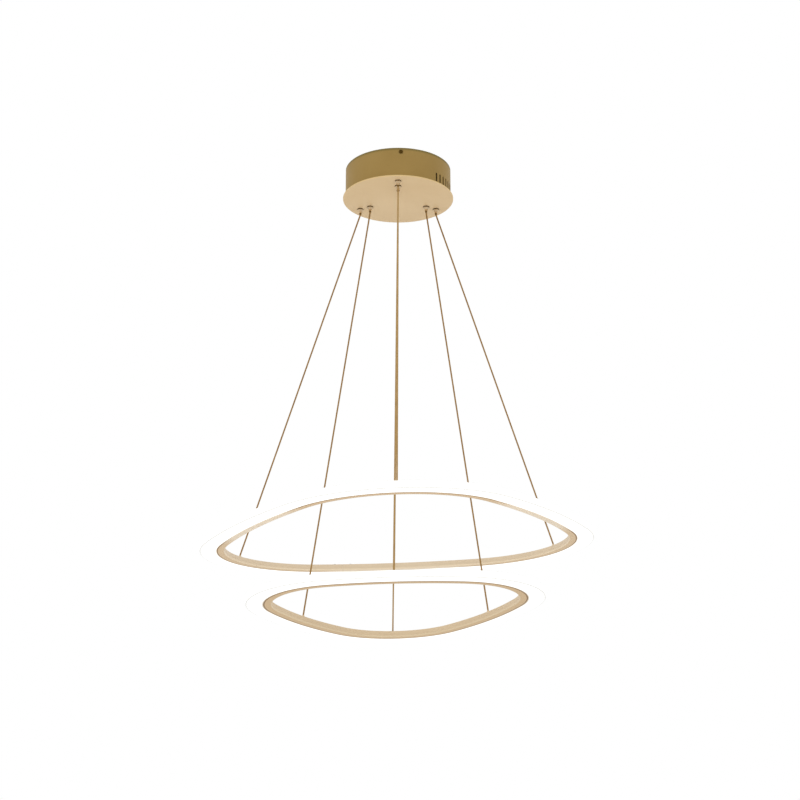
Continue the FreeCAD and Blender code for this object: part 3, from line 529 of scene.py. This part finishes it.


# Canopy drum
# A deep-drawn steel drum with a lip turned in at its foot, painted satin gold like the disc. Its
# darker olive tone is painted shade, deepest in a band at its top under the ceiling. Two groups
# of eight upright vents are pierced in its wall, and three side screws hold it to the plate.
DRUM_RADIUS = 72.5
DRUM_WALL = 1.2
DISC_TOP = -42.0
DRUM_LIP = 9
FOOT_ROUND = 0.9
VENT_FOOT = DISC_TOP + 2.8
VENT_WIDTH = 2.8
VENT_HEIGHT = 12.5
VENT_TURNS = [math.radians(-44 + 6 * step) for step in range(8)]
HOLD_TURNS = {"front": -math.pi / 2, "right": math.pi / 6, "left": 5 * math.pi / 6}
GRIPPER_REACH = {"large": 61, "small": 45}
NUT_NOTCH = 6.4
STUD_REACH = 66.8
STUD_TURNS = [turn + math.pi for turn in HOLD_TURNS.values()]
SCREW_TURNS = [turn + math.radians(3) for turn in HOLD_TURNS.values()]
SCREW_HEIGHT = -6
SMALL_HOLE = 1.6


def rod(radius, low, high, x, y, sides=48):
    """A plain upright cutter rod."""
    bar = cylinder(radius, high - low, sides)
    bar.data.transform(spot(x, y, (low + high) / 2))
    return bar


def on_circle(radius, turn):
    """A point on a circle about the origin."""
    return radius * math.cos(turn), radius * math.sin(turn)


def make_drum():
    """The shell is turned, and the vents, screw holes and notches are then pierced."""
    inside = DRUM_RADIUS - DRUM_WALL
    lip_top = DISC_TOP + DRUM_WALL
    foot = [(DRUM_RADIUS - FOOT_ROUND * (1 - math.sin(turn)),
             DISC_TOP + FOOT_ROUND * (1 - math.cos(turn)))
            for turn in (0, 0.4, 0.8, 1.2, math.pi / 2)]
    drum = turn_on_lathe("dressed_canopy_drum", foot + [
        (DRUM_RADIUS, VENT_FOOT - 0.8), (DRUM_RADIUS, -24), (DRUM_RADIUS, -12),
        (DRUM_RADIUS, -0.4), (DRUM_RADIUS - 0.4, 0), (inside, 0), (inside, lip_top),
        (inside - DRUM_LIP, lip_top), (inside - DRUM_LIP, DISC_TOP)], 192)
    middle = Vector((DRUM_RADIUS, 0, VENT_FOOT + VENT_HEIGHT / 2)) * mm
    vents = [block(8 * mm, VENT_WIDTH * mm, VENT_HEIGHT * mm, middle, side + turn)
             for side in (0, math.pi) for turn in VENT_TURNS]
    cut_with(drum, joined("vents", vents))
    for turn in SCREW_TURNS:
        hole = cylinder(SMALL_HOLE, 6, 32)
        hole.data.transform(spot(*on_circle(DRUM_RADIUS, turn), SCREW_HEIGHT, turn) @ laid_down)
        cut_with(drum, hole)
    lip = (DISC_TOP - 1, DISC_TOP + 2)
    for turn in HOLD_TURNS.values():
        cut_with(drum, rod(NUT_NOTCH, *lip, *on_circle(GRIPPER_REACH["large"], turn)))
    for turn in STUD_TURNS:
        cut_with(drum, rod(SMALL_HOLE, *lip, *on_circle(STUD_REACH, turn), 24))
    smooth(drum, 30)
    return drum


def own_height(finish):
    """The point's height on the object."""
    return parts_of(finish, own_place(finish))[2]


def make_paint_finish(name, base, dark, light, metal, rough, gloss, coat, edge):
    """A satin metallic paint: fine flake, faint orange peel, and painted shade at one edge."""
    finish = new_finish(name, base, Metallic=metal, Specular_IOR_Level=gloss,
                        Coat_Weight=coat, Coat_Roughness=0.3)
    place = own_place(finish)
    cloudy = stretched(finish, noise(finish, place, 18, 3), 0, 0.7)
    flake = ranged(finish, noise(finish, place, 2400, 1), 0.35, 0.65, 0, 1)
    tone = blended(finish, sum_of(finish, cloudy, flake, 0.3), dark, light)
    # Painted shade: a band at one edge turns to a darker tone.
    low, high, edge_lighting_tone = edge
    edge_shade_share = ranged(finish, own_height(finish), low * mm, high * mm, 0, 1)
    lead_to(finish, "Base Color", blended(finish, edge_shade_share, tone, edge_lighting_tone))
    lead_to(finish, "Roughness", ranged(finish, flake, 0, 1, rough - 0.04, rough + 0.05))
    relief(finish, noise(finish, place, 620), 0.02 * mm)
    return finish


# The disc's gold painted darker and olive as shade, with a darker band of painted shade at the
# top.
shaded_drum_finish = make_paint_finish(
    "drum_paint", colour(156, 128, 73), colour(151, 123, 68), colour(161, 133, 78), metal=0.2,
    rough=0.5, gloss=0.12, coat=0, edge=(-4.4, -1.4, colour(122, 106, 58)))
dress(make_drum(), shaded_drum_finish, "drum_paint", "canopy", "canopy_drum")


# Side screws of the drum
# Three small dark bronze pan-head screws near the top of the drum, one towards the front and one
# towards each back corner.
bronze_finish = make_metal_finish("bronze_screw", colour(84, 62, 20), colour(66, 47, 12),
                                  colour(104, 80, 34), 0.3)
drum_screws = set_out(make_screw("side_screw", 1.5, 6.0, 2.8, 1.8), "dressed_drum_screws",
                      [spot(*on_circle(DRUM_RADIUS, turn), SCREW_HEIGHT, turn) @ laid_down
                       for turn in SCREW_TURNS])
dress(drum_screws, bronze_finish, "gold_screw", "canopy", "drum_screws")


# Canopy disc
# A flat steel disc in the drum's satin gold paint, that closes the drum from below and stands a
# little proud of it. Its champagne face is painted paler as light from the rings' glow, and its
# rim's side darker as painted shade. It carries the grippers and the lead's bush, and three studs
# hold it to the lip.
DISC_RADIUS = 76.0
DISC_FACE = -44.0
GRIPPER_HOLE = 3.6
BUSH_SPOT = (0, -31)


def make_disc():
    """The disc is turned and drilled for the grippers and the bush, and its studs are added."""
    disc = turn_on_lathe("dressed_canopy_disc", [
        (0, DISC_FACE), (DISC_RADIUS - 1.1, DISC_FACE), (DISC_RADIUS - 0.55, DISC_FACE + 0.12),
        (DISC_RADIUS - 0.15, DISC_FACE + 0.4), (DISC_RADIUS, DISC_FACE + 0.8),
        (DISC_RADIUS, DISC_TOP - 0.25), (DISC_RADIUS - 0.25, DISC_TOP), (0, DISC_TOP)], 192)
    through = (DISC_FACE - 1, DISC_TOP + 1)
    for reach in GRIPPER_REACH.values():
        for turn in HOLD_TURNS.values():
            cut_with(disc, rod(GRIPPER_HOLE, *through, *on_circle(reach, turn)))
    cut_with(disc, rod(1.9, *through, *BUSH_SPOT, 32))
    stud = turn_on_lathe("stud", [(0, 0), (1.5, 0), (1.5, 6.1), (1.1, 6.5), (0, 6.5)], 24)
    studs = set_out(stud, "studs",
                    [spot(*on_circle(STUD_REACH, turn), DISC_TOP) for turn in STUD_TURNS])
    disc = joined("dressed_canopy_disc", [disc, studs])
    smooth(disc, 34)
    return disc


# The drum's gold painted paler as light from the rings below, and darker on the rim's side as
# shade.
lit_disc_finish = make_paint_finish(
    "disc_paint", colour(226, 197, 152), colour(222, 192, 146), colour(230, 202, 158),
    metal=0.15, rough=0.45, gloss=0.25, coat=0.05,
    edge=(DISC_FACE + 0.3, DISC_FACE + 0.7, colour(217, 188, 133)))
dress(make_disc(), lit_disc_finish, "disc_paint", "canopy", "canopy_disc")


# Nuts
# Plain hexagon nuts, steel ones on the disc's three studs and larger brass ones on the grippers.
# Their corners are chamfered on both faces.
def make_nut(radius, bore, height):
    """A six-sided bar, chamfered by a cone at each end and then bored."""
    piece = cylinder(radius, height, 6)
    piece.data.transform(spot(0, 0, height / 2, math.pi / 6))
    rim = radius * 0.88
    wide = radius + 0.3
    chamfer = (wide - rim) * 0.5
    cone = turn_on_lathe("cone", [(0, 0), (rim, 0), (wide, chamfer), (wide, height - chamfer),
                                  (rim, height), (0, height)], 48)
    cut_with(piece, cone, "INTERSECT")
    cut_with(piece, rod(bore, -1, height + 1, 0, 0, 32))
    smooth(piece, 20)
    return piece


disc_nuts = set_out(make_nut(3.1, SMALL_HOLE, 2.4), "dressed_disc_nuts",
                    [spot(*on_circle(STUD_REACH, turn), DISC_TOP + DRUM_WALL, turn)
                     for turn in STUD_TURNS])
dress(disc_nuts, steel_finish, "steel_fastener", "canopy", "disc_nuts")

brass_finish = make_metal_finish("nut_brass", colour(186, 150, 88), colour(172, 136, 76),
                                 colour(200, 166, 104), 0.28)
gripper_places = {(ring, side): spot(*on_circle(reach, turn), DISC_FACE, turn)
                  for ring, reach in GRIPPER_REACH.items() for side, turn in HOLD_TURNS.items()}
through_disc = spot(0, 0, DISC_TOP - DISC_FACE)
gripper_nuts = set_out(make_nut(5.8, GRIPPER_HOLE, 2.6), "dressed_gripper_nuts",
                       [place @ through_disc for place in gripper_places.values()])
dress(gripper_nuts, brass_finish, "gripper_nut_brass", "canopy", "gripper_nuts")


# Cable grippers
# Turned brass bodies, gold plated, with a bevelled flange under the disc and a threaded shank
# above it. Inside, a coil spring pushes a hollow nose down on the cable; pressing the nose up
# frees the cable.
# Painted shade and dark reflection: darker bands round the flange's side and the nose's tip.
FLANGE_SHADE_BAND = (-45.5, -45.2, -43.9, -43.8)
NOSE_SHADE_BAND = (-53, -52.9, -50.6, -49.6)


def shade_band(finish, low, fade_low, fade_high, high, shade):
    """Paints shade on a finish between two heights, fading in and out."""
    up = own_height(finish)
    above = ranged(finish, up, low * mm, fade_low * mm, 0, 1)
    below = ranged(finish, up, fade_high * mm, high * mm, 1, 0)
    share = worked(finish, "MULTIPLY", above, below)
    base = finish.node_tree.nodes["Principled BSDF"].inputs["Base Color"]
    lead_to(finish, "Base Color", blended(finish, share, base.links[0].from_socket, shade))


gripper_finish = make_metal_finish("gripper_metal", colour(216, 190, 152), colour(202, 174, 134),
                                   colour(230, 206, 170), 0.2)
# The plated gold painted with shade and dark reflection round the flange and the nose's tip.
shade_band(gripper_finish, *FLANGE_SHADE_BAND, colour(84, 60, 26))
shade_band(gripper_finish, *NOSE_SHADE_BAND, colour(120, 92, 48))
barrel = [(1.95, -4.2), (2.25, -4.2), (2.5, -3.9), (2.85, -2.0), (3.05, -1.6), (3.7, -1.6),
          (4.25, -1.35), (4.5, -0.8), (4.5, -0.15), (4.4, 0), (3.5, 0)]
thread = [(3.5 - 0.28 * (step % 2), 2.4 + 0.55 * step) for step in range(12)]
barrel += thread + [(3.2, 9.0), (1.25, 9.0), (1.25, 8.2), (2.8, 8.2), (2.8, 1.0), (1.95, 1.0)]
nose = [(1.15, -8.2), (1.35, -8.2), (1.47, -8.0), (1.9, -5.2), (1.9, 1.05), (2.65, 1.05),
        (2.65, 2.05), (1.15, 2.05)]
for ring in ("large", "small"):
    places = [gripper_places[ring, side] for side in HOLD_TURNS]
    bodies = set_out(turn_on_lathe("gripper", barrel, 48), "dressed_%s_grippers" % ring, places)
    dress(bodies, gripper_finish, "gripper_metal", "canopy", ring + "_grippers")
    for side in HOLD_TURNS:
        plunger = set_out(turn_on_lathe("nose", nose, 40), "dressed_%s_plunger_%s" % (ring, side),
                          [gripper_places[ring, side]])
        dress(plunger, gripper_finish, "gripper_metal", "%s_release_%s" % (ring, side),
              "%s_plunger_%s" % (ring, side))


# Springs in the grippers
# A stainless coil spring of half-millimetre wire in each gripper, seated between the nose's
# shoulder and the gripper's roof. The real one shortens as the nose is pressed; this one stays
# with the canopy and keeps its length.
SPRING_RADIUS = 2.4
SPRING_WIRE = 0.25
SPRING_LOW = 2.1
SPRING_HIGH = 8.2
SPRING_COILS = 5


def make_spring():
    """Wire wound on a rod: a small round outline, screwed up the axis."""
    bpy.ops.mesh.primitive_circle_add(vertices=10, radius=SPRING_WIRE * mm)
    coil = bpy.context.object
    coil.data.transform(spot(SPRING_RADIUS, 0, SPRING_LOW + SPRING_WIRE)
                        @ Matrix.Rotation(math.pi / 2, 4, "X"))
    wound = coil.modifiers.new("wound", "SCREW")
    wound.screw_offset = (SPRING_HIGH - SPRING_LOW - 2 * SPRING_WIRE) / SPRING_COILS * mm
    wound.iterations = SPRING_COILS
    wound.steps = wound.render_steps = 28
    bpy.ops.object.modifier_apply(modifier="wound")
    bpy.ops.object.mode_set(mode="EDIT")
    bpy.ops.mesh.select_all(action="DESELECT")
    bpy.ops.mesh.select_non_manifold()
    bpy.ops.mesh.edge_face_add()
    bpy.ops.mesh.select_all(action="SELECT")
    bpy.ops.mesh.normals_make_consistent(inside=False)
    bpy.ops.object.mode_set(mode="OBJECT")
    smooth(coil, 50)
    return coil


spring_finish = make_metal_finish("spring_wire", colour(164, 165, 168), colour(146, 147, 151),
                                  colour(182, 183, 186), 0.26, (900, 900, 900))
for (ring, side), place in gripper_places.items():
    spring = set_out(make_spring(), "dressed_%s_spring_%s" % (ring, side), [place])
    dress(spring, spring_finish, "spring_steel", "canopy", "%s_spring_%s" % (ring, side))
    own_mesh(spring)


# Lead bush and cable tails
# A small nylon bush guards the lead where it goes through the disc. Above the grippers and the
# bush, the ends of the cables stand up inside the canopy.
bush_finish = make_plastic_finish("bush_plastic", colour(189, 163, 128), colour(180, 154, 118),
                                  colour(196, 171, 138), grain=800, rough=0.45)
bush = turn_on_lathe("bush", [(1.1, -0.8), (2.0, -0.8), (2.4, -0.45), (2.4, 0), (1.8, 0),
                              (1.8, 4.7), (1.5, 5.0), (1.1, 5.0)], 32)
bush = set_out(bush, "dressed_lead_bush", [spot(*BUSH_SPOT, DISC_FACE)])
dress(bush, bush_finish, "bush_plastic", "canopy", "lead_bush")


def make_tail_finish():
    """The cables' jacket again, its marks drawn out along the upright tails."""
    base, dark, light = TAN
    finish = new_finish("cable_tail", base, Roughness=0.6, Specular_IOR_Level=0.12)
    marks = noise(finish, own_place(finish, (500, 500, 160)), 1.0, 3)
    lead_to(finish, "Base Color", blended(finish, stretched(finish, marks), dark, light))
    relief(finish, marks, 0.05 * mm, 0.6)
    return finish


dress(eased_copy("cable_tails", 0.15 * mm), make_tail_finish(), "cable_jacket", "canopy",
      "cable_tails")


# Gold channels of the rings
# Each ring is a light gold anodised aluminium channel, bent to a triangle with rounded corners
# and bowed sides. Its web is the inner face of the ring, and it closes at one fine seam. The
# large ring's gold is painted the paler one as painted light, most of all along its sides, where
# its flanges carry painted highlights. Each web's foot has a painted highlight, and the flanges'
# outer edges a painted shadow line in the bends and on the small ring.
SECTION = 32.6
BAND = 10.0
CHANNEL_TOP = 8.4
FLANGE = 1.2
WEB = 1.5
SECTION_ROUND = 0.22
SEAM_GAP = 0.3
BEND_FADE = 40.0
Arc = namedtuple("Arc", "middle spread radius reach")


class Ring:
    """The outline of a ring's inner face, as arcs, and the place where the ring hangs. Lengths
    are in millimetres and turns in degrees. Each arc's circle lies at a reach from the middle."""

    def __init__(self, width, corner, side, turn, seam_side, seam_shift, front, entry, shift,
                 drop, lean, nod):
        sixth = math.pi / 3
        self.corner = corner
        distance = (width / 2 - SECTION - corner) / math.cos(sixth / 2)
        side_spread = math.asin(distance * math.sin(sixth) / (side - corner))
        side_back = (side - corner) * math.cos(side_spread) - distance / 2
        self.arcs = []
        for step in range(3):
            middle = math.radians(turn + 120 * step)
            self.arcs.append(Arc(middle, sixth - side_spread, corner, distance))
            self.arcs.append(Arc(middle + sixth, side_spread, side, -side_back))
        self.seam = math.radians(seam_side) + seam_shift / side
        self.entry = math.radians(entry)
        self.holds = [math.radians(front), math.pi / 6, 5 * math.pi / 6]
        self.place = (Matrix.Translation(Vector((shift, 0, -drop)) * mm)
                      @ Euler((math.radians(nod), math.radians(lean), 0)).to_matrix().to_4x4())

    def arc_at(self, normal):
        """The arc on which the outline has this normal."""
        return next(arc for arc in self.arcs if arc.spread + 1e-9
                    >= abs(math.remainder(normal - arc.middle, 2 * math.pi)))

    def place_at(self, normal, offset, height):
        """Where the outline, moved out, has this normal: a place in the ring's own frame."""
        arc = self.arc_at(normal)
        x, y = on_circle(arc.reach, arc.middle)
        out_x, out_y = on_circle(arc.radius + offset, normal)
        return self.place @ spot(x + out_x, y + out_y, height)

    def runs(self, seam_gap):
        """The arcs in turn with their bounds, starting after the seam if there is one."""
        whole = [(arc, arc.middle - arc.spread, arc.middle + arc.spread) for arc in self.arcs]
        if not seam_gap:
            return whole
        first = self.arcs.index(self.arc_at(self.seam))
        arc, start, end = whole[first]
        half = seam_gap / 2 / arc.radius
        seam = arc.middle + math.remainder(self.seam - arc.middle, 2 * math.pi)
        return ([(arc, seam + half, end)] + whole[first + 1:] + whole[:first]
                + [(arc, start, seam - half)])


RINGS = {
    "large": Ring(width=520.7, corner=139.0, side=728.8, turn=-90, seam_side=90, seam_shift=76,
                  front=-89.82, entry=-84, shift=-1.2, drop=524.2, lean=-2.13, nod=1.75),
    "small": Ring(width=378.0, corner=93.0, side=432.6, turn=90, seam_side=150, seam_shift=40,
                  front=-90.17, entry=92.5, shift=-2.8, drop=616.9, lean=-1.48, nod=-1.28),
}


def note_section(piece, ring):
    """Keeps on each point how far out and how high it lies in the ring's section, and how much
    of a bend it is in: 1 in the corners, fading to 0 along the sides."""
    points = []
    for point in piece.data.vertices:
        place = point.co / mm
        for arc in ring.arcs:
            x, y = on_circle(arc.reach, arc.middle)
            x, y = place.x - x, place.y - y
            offset = math.hypot(x, y) - arc.radius
            turn = abs(math.remainder(math.atan2(y, x) - arc.middle, 2 * math.pi))
            if turn <= arc.spread + 0.002 and -1 < offset < SECTION + 1:
                past = 0 if arc.radius == ring.corner else (arc.spread - turn) * arc.radius
                points += [offset, place.z, min(1, max(0, 1 - past / BEND_FADE))]
                break
        else:
            points += [0, place.z, 0]
    kept = piece.data.attributes.new("section", "FLOAT_VECTOR", "POINT")
    kept.data.foreach_set("vector", points)


def bend_round(name, ring, outline, seam_gap, round_angle):
    """Bends a drawn section round the ring, arc by arc."""
    piece = draw_outline(name, outline, SECTION_ROUND)
    runs = ring.runs(seam_gap)
    arc, start = runs[0][:2]
    piece.data.transform(spot(*on_circle(arc.reach, arc.middle), 0, start)
                         @ spot(arc.radius, 0, 0))
    edit_all(piece)
    for arc, start, end in runs:
        x, y = on_circle(arc.reach * mm, arc.middle)
        degrees_a_step = 2.4 if arc.radius == ring.corner else 1.1
        steps = max(2, round(math.degrees(end - start) / degrees_a_step))
        bpy.ops.mesh.spin(steps=steps, angle=start - end, center=(x, y, 0), axis=(0, 0, 1))
    if seam_gap:
        bpy.ops.mesh.edge_face_add()
        bpy.ops.mesh.select_all(action="DESELECT")
        bpy.ops.mesh.select_non_manifold()
        bpy.ops.mesh.edge_face_add()
    bpy.ops.object.mode_set(mode="OBJECT")
    close_up(piece, round_angle)
    note_section(piece, ring)
    piece.data.transform(ring.place)
    return piece


def section_parts(finish):
    """A point's place in the section as a vector, how far out and up it is, and its bend."""
    source = add(finish, "Attribute", {}, attribute_name="section")
    out, up, bend = parts_of(finish, source.outputs["Vector"])
    place = add(finish, "CombineXYZ", {"X": out, "Y": up}).outputs["Vector"]
    return place, out, up, bend


def make_channel_finish(name, web, foot_highlight_tone, flange_lighting_tones, edge_lighting_tones):
    """Anodised gold with the fine lines of extrusion, and painted light: a painted highlight at
    the web's foot, and on the flanges and their outer edges painted highlights and shade, one
    tone along the sides and another in the bends."""
    finish = new_finish(name, colour(216, 190, 155), Metallic=0.35)
    place, out, up, bend = section_parts(finish)
    lines = noise(finish, place, 3.2, 3)
    cloudy = stretched(finish, noise(finish, own_place(finish), 12), 0, 0.45)
    tone = sum_of(finish, cloudy, stretched(finish, lines), 0.55)
    gold = blended(finish, tone, *web)
    # Painted highlight along the web's foot, by the lower flange.
    foot = ranged(finish, up, FLANGE + 0.2, FLANGE + 1.4, 1, 0)
    highlighted = blended(finish, foot, gold, foot_highlight_tone)
    # Painted light on the flanges: highlights along the large ring's sides, shade in the bends.
    under = ranged(finish, out, 0.3, 1.0, 0, 1)
    flange = blended(finish, under, highlighted, blended(finish, bend, *flange_lighting_tones))
    # Painted light on the flanges' outer edges: a shadow line, a highlight along the large ring's
    # sides.
    edge = ranged(finish, out, BAND - 1.8, BAND - 1.3, 0, 1)
    lead_to(finish, "Base Color",
            blended(finish, edge, flange, blended(finish, bend, *edge_lighting_tones)))
    lead_to(finish, "Roughness", stretched(finish, lines, 0.4, 0.5))
    relief(finish, lines, 0.015 * mm)
    return finish


# Per ring: web gold and painted highlight, flange and edge light; the large one painted paler.
channel_finishes = {
    "large": make_channel_finish(
        "large_ring_gold", (colour(214, 193, 163), colour(224, 205, 176)), colour(236, 217, 187),
        (colour(242, 225, 199), colour(224, 195, 153)),
        (colour(244, 228, 204), colour(156, 118, 66))),
    "small": make_channel_finish(
        "small_ring_gold", (colour(211, 187, 152), colour(221, 199, 165)), colour(227, 206, 171),
        (colour(219, 187, 140), colour(219, 187, 140)),
        (colour(152, 113, 58), colour(152, 113, 58))),
}
under_flange = CHANNEL_TOP - FLANGE
channel = [(0, 0), (BAND, 0), (BAND, FLANGE), (WEB, FLANGE), (WEB, under_flange),
           (BAND, under_flange), (BAND, CHANNEL_TOP), (0, CHANNEL_TOP)]
for name, ring in RINGS.items():
    piece = bend_round("dressed_%s_ring_frame" % name, ring, channel, SEAM_GAP, 30)
    dress(piece, channel_finishes[name], "ring_gold", name + "_ring", name + "_ring_frame")


# LED strips and joiners
# A white flexible board with light-emitting packages is stuck to each channel's web. A mill
# finish aluminium joiner bridges the seam inside the channel, under two small screws.
JOINER_MIDDLE = 3.9
JOINER_SCREW = 11


def make_board_finish():
    """A white board that glows a little."""
    finish = new_finish("led_board", colour(246, 244, 236), Roughness=0.4,
                        Emission_Strength=0.5, Emission_Color=colour(255, 252, 244))
    place = own_place(finish)
    cloudy = ranged(finish, noise(finish, place, 300), 0.4, 0.6, 0, 1)
    lead_to(finish, "Base Color",
            blended(finish, cloudy, colour(240, 236, 222), colour(250, 249, 244)))
    relief(finish, noise(finish, place, 1500), 0.02 * mm)
    return finish


board_finish = make_board_finish()
alloy_finish = make_metal_finish("raw_aluminium", colour(200, 202, 205), colour(188, 190, 193),
                                 colour(212, 214, 216), 0.36, (300, 300, 2600))
for name, ring in RINGS.items():
    strip = eased_copy(name + "_led_strip", 0)
    dress(strip, board_finish, "led_board", name + "_ring", name + "_led_strip")
    joiner = eased_copy(name + "_ring_joiner", 0.2 * mm)
    dress(joiner, alloy_finish, "raw_aluminium", name + "_ring", name + "_ring_joiner")
    half = JOINER_SCREW / (ring.arc_at(ring.seam).radius + JOINER_MIDDLE)
    places = [ring.place_at(ring.seam + way * half, JOINER_MIDDLE, CHANNEL_TOP)
              for way in (-1, 1)]
    screws = set_out(make_screw("joiner_screw", 1.0, 2.6, 1.9, 1.2),
                     "dressed_%s_joiner_screws" % name, places)
    dress(screws, steel_finish, "steel_fastener", name + "_ring", name + "_joiner_screws")


# Opal diffusers
# Extruded opal acrylic profiles, bent with the channels and slid into them by two tongues. Lit
# from inside they glow white all over. Their rounded edges glow less, as painted shade, and their
# margin next to the gold is painted with the gold's shadow and reflection.
OPAL_START = 10.1
OPAL_TOP = 9
OPAL_ROUND = 1.2
EDGE_SHADED_GLOW = 0.13


def make_opal_finish(name, margin, margin_end, margin_glow):
    """Opal with painted shade: its rounded edges glow less, and its inner margin next to the gold
    is painted with the gold's shadow and reflection.
    """
    finish = new_finish(name, colour(244, 244, 243), Roughness=0.35, IOR=1.49,
                        Emission_Strength=1.0)
    place, out, up = section_parts(finish)[:3]
    # Painted shade: the glow is less at the margin by the gold and at the rounded edges.
    inner = ranged(finish, out, OPAL_START, margin_end, margin_glow, 1)
    outer = ranged(finish, out, SECTION - 3.2, SECTION - 1.1, 1, EDGE_SHADED_GLOW)
    side = worked(finish, "MULTIPLY", inner, outer)
    away = worked(finish, "ABSOLUTE", worked(finish, "SUBTRACT", up, OPAL_TOP / 2))
    upright = ranged(finish, away, 3.0, 4.1, 1, EDGE_SHADED_GLOW)
    wall = ranged(finish, out, SECTION - 0.6, SECTION - 0.1, 0, 1)
    glow = add(finish, "Mix", {"Factor": wall, "A": side, "B": upright}).outputs["Result"]
    cloudy = stretched(finish, noise(finish, own_place(finish), 40, 3), 0.94, 1.0)
    glow = worked(finish, "MULTIPLY", glow, cloudy)
    lead_to(finish, "Emission Color",
            blended(finish, glow, colour(0, 0, 0), colour(206, 205, 203)))
    even = blended(finish, glow, colour(242, 241, 237), colour(244, 244, 243))
    # The margin by the gold takes a gold tone: painted shadow and reflection of the gold.
    gold_shade_and_reflection = ranged(finish, out, OPAL_START, margin_end, 1, 0)
    lead_to(finish, "Base Color", blended(finish, gold_shade_and_reflection, even, margin))
    relief(finish, noise(finish, place, 4.0, 2), 0.01 * mm, 0.4)
    return finish


# Margin tone, margin end and glow there: painted shadow and reflection of the gold.
opal_finishes = {
    "large": make_opal_finish("large_ring_opal", colour(236, 222, 196), 11.8, 0.2),
    "small": make_opal_finish("small_ring_opal", colour(200, 176, 136), 13.0, 0.0),
}
round_turns = [math.radians(15 * step) for step in range(7)]
low_edge = [(SECTION - OPAL_ROUND * (1 - math.sin(turn)), OPAL_ROUND * (1 - math.cos(turn)))
            for turn in round_turns]
high_edge = [(out, OPAL_TOP - up) for out, up in reversed(low_edge)]
profile = ([(7.3, 1.3), (OPAL_START, 1.3), (OPAL_START, 0)] + low_edge + high_edge
           + [(OPAL_START, OPAL_TOP), (OPAL_START, 7.1), (7.3, 7.1), (7.3, 6.0), (11.6, 6.0),
              (11.6, 7.5), (31.1, 7.5), (31.1, 1.5), (11.6, 1.5), (11.6, 2.4), (7.3, 2.4)])
for name, ring in RINGS.items():
    piece = bend_round("dressed_%s_ring_diffuser" % name, ring, profile, 0, 40)
    dress(piece, opal_finishes[name], "opal_diffuser", name + "_ring", name + "_ring_diffuser")


# Cable anchors and lead entries
# Gold-plated ferrules are crimped on the cables' ends and stand on the channel's upper flange.
# A soft dark plug closes the hole where each ring's lead goes in.
ferrule = [(0, -2.1), (1.8, -2.1), (2.0, -1.9), (2.0, -1.2), (1.5, -1.2), (1.5, 0), (2.1, 0),
           (2.2, 0.1), (2.2, 0.85), (2.05, 1.0), (1.72, 1.75), (1.6, 1.85), (1.62, 2.0),
           (1.42, 2.6), (1.3, 2.7), (1.3, 3.1), (1.2, 3.2), (0, 3.2)]
plug = [(0, -2.2), (1.7, -2.2), (2.0, -1.9), (2.0, -1.2), (1.5, -1.2), (1.5, 0), (2.3, 0),
        (2.4, 0.15), (2.3, 0.6), (1.7, 0.93), (0, 1.0)]


def make_rubber_finish():
    """A dull dark rubber, a little uneven."""
    finish = new_finish("grommet_rubber", colour(52, 47, 42), Roughness=0.6)
    place = own_place(finish)
    cloudy = stretched(finish, noise(finish, place, 200, 3))
    lead_to(finish, "Base Color", blended(finish, cloudy, colour(44, 40, 36), colour(60, 55, 50)))
    relief(finish, noise(finish, place, 1600), 0.03 * mm)
    return finish


rubber_finish = make_rubber_finish()
for name, ring in RINGS.items():
    places = [ring.place_at(turn, BAND / 2, CHANNEL_TOP) for turn in ring.holds]
    anchors = set_out(turn_on_lathe("ferrule", ferrule, 32), "dressed_%s_cable_anchors" % name,
                      places)
    dress(anchors, gripper_finish, "gripper_metal", name + "_ring", name + "_cable_anchors")
    grommet = set_out(turn_on_lathe("plug", plug, 32), "dressed_%s_ring_grommet" % name,
                      [ring.place_at(ring.entry, BAND / 2, CHANNEL_TOP)])
    dress(grommet, rubber_finish, "grommet_rubber", name + "_ring", name + "_ring_grommet")


# Room
# A plain pale floor far below the light, plain soft lamps and an even white surround. What the
# camera, gloss and glass see of the surround is white; it lights matt surfaces a little less.
FLOOR_RADIUS = 200
FLOOR_HEIGHT = -2.6
LIGHT_MIDDLE = Vector((0, 0, -0.3))
WHITE = (1, 1, 1, 1)

bpy.ops.mesh.primitive_circle_add(vertices=96, radius=FLOOR_RADIUS, fill_type="NGON",
                                  location=(0, 0, FLOOR_HEIGHT))
floor = bpy.context.object
floor.name = "floor"
floor.data.materials.append(new_finish("floor", colour(247, 247, 247), Roughness=0.9))

world = bpy.data.worlds.new("surround")
bpy.context.scene.world = world
world.use_nodes = True
world.node_tree.nodes.clear()
rays = add(world, "LightPath", {}).outputs
seen = worked(world, "MAXIMUM", rays["Is Camera Ray"], rays["Is Glossy Ray"])
shown = worked(world, "MAXIMUM", seen, rays["Is Transmission Ray"])
lighting = add(world, "Background", {"Color": WHITE, "Strength": 0.8})
plain = add(world, "Background", {"Color": WHITE, "Strength": 1.0})
either = add(world, "MixShader", {"Fac": shown, 1: lighting.outputs["Background"],
                                  2: plain.outputs["Background"]})
add(world, "OutputWorld", {"Surface": either.outputs["Shader"]})


def add_lamp(name, place, power, size):
    """A large soft lamp that looks at the middle of the light."""
    lamp = bpy.data.objects.new(name, bpy.data.lights.new(name, "AREA"))
    lamp.data.shape = "DISK"
    lamp.data.size = size
    lamp.data.energy = power
    lamp.location = place
    aim = LIGHT_MIDDLE - lamp.location
    lamp.rotation_euler = aim.to_track_quat("-Z", "Y").to_euler()
    lamp.visible_glossy = False
    bpy.context.collection.objects.link(lamp)


add_lamp("key", (-2.4, -3.0, 1.2), 34, 2.2)
add_lamp("fill", (3.0, -2.2, 0.2), 16, 2.4)
add_lamp("back", (0.6, 3.2, 1.4), 16, 2.4)

bpy.context.scene.view_settings.view_transform = "Standard"
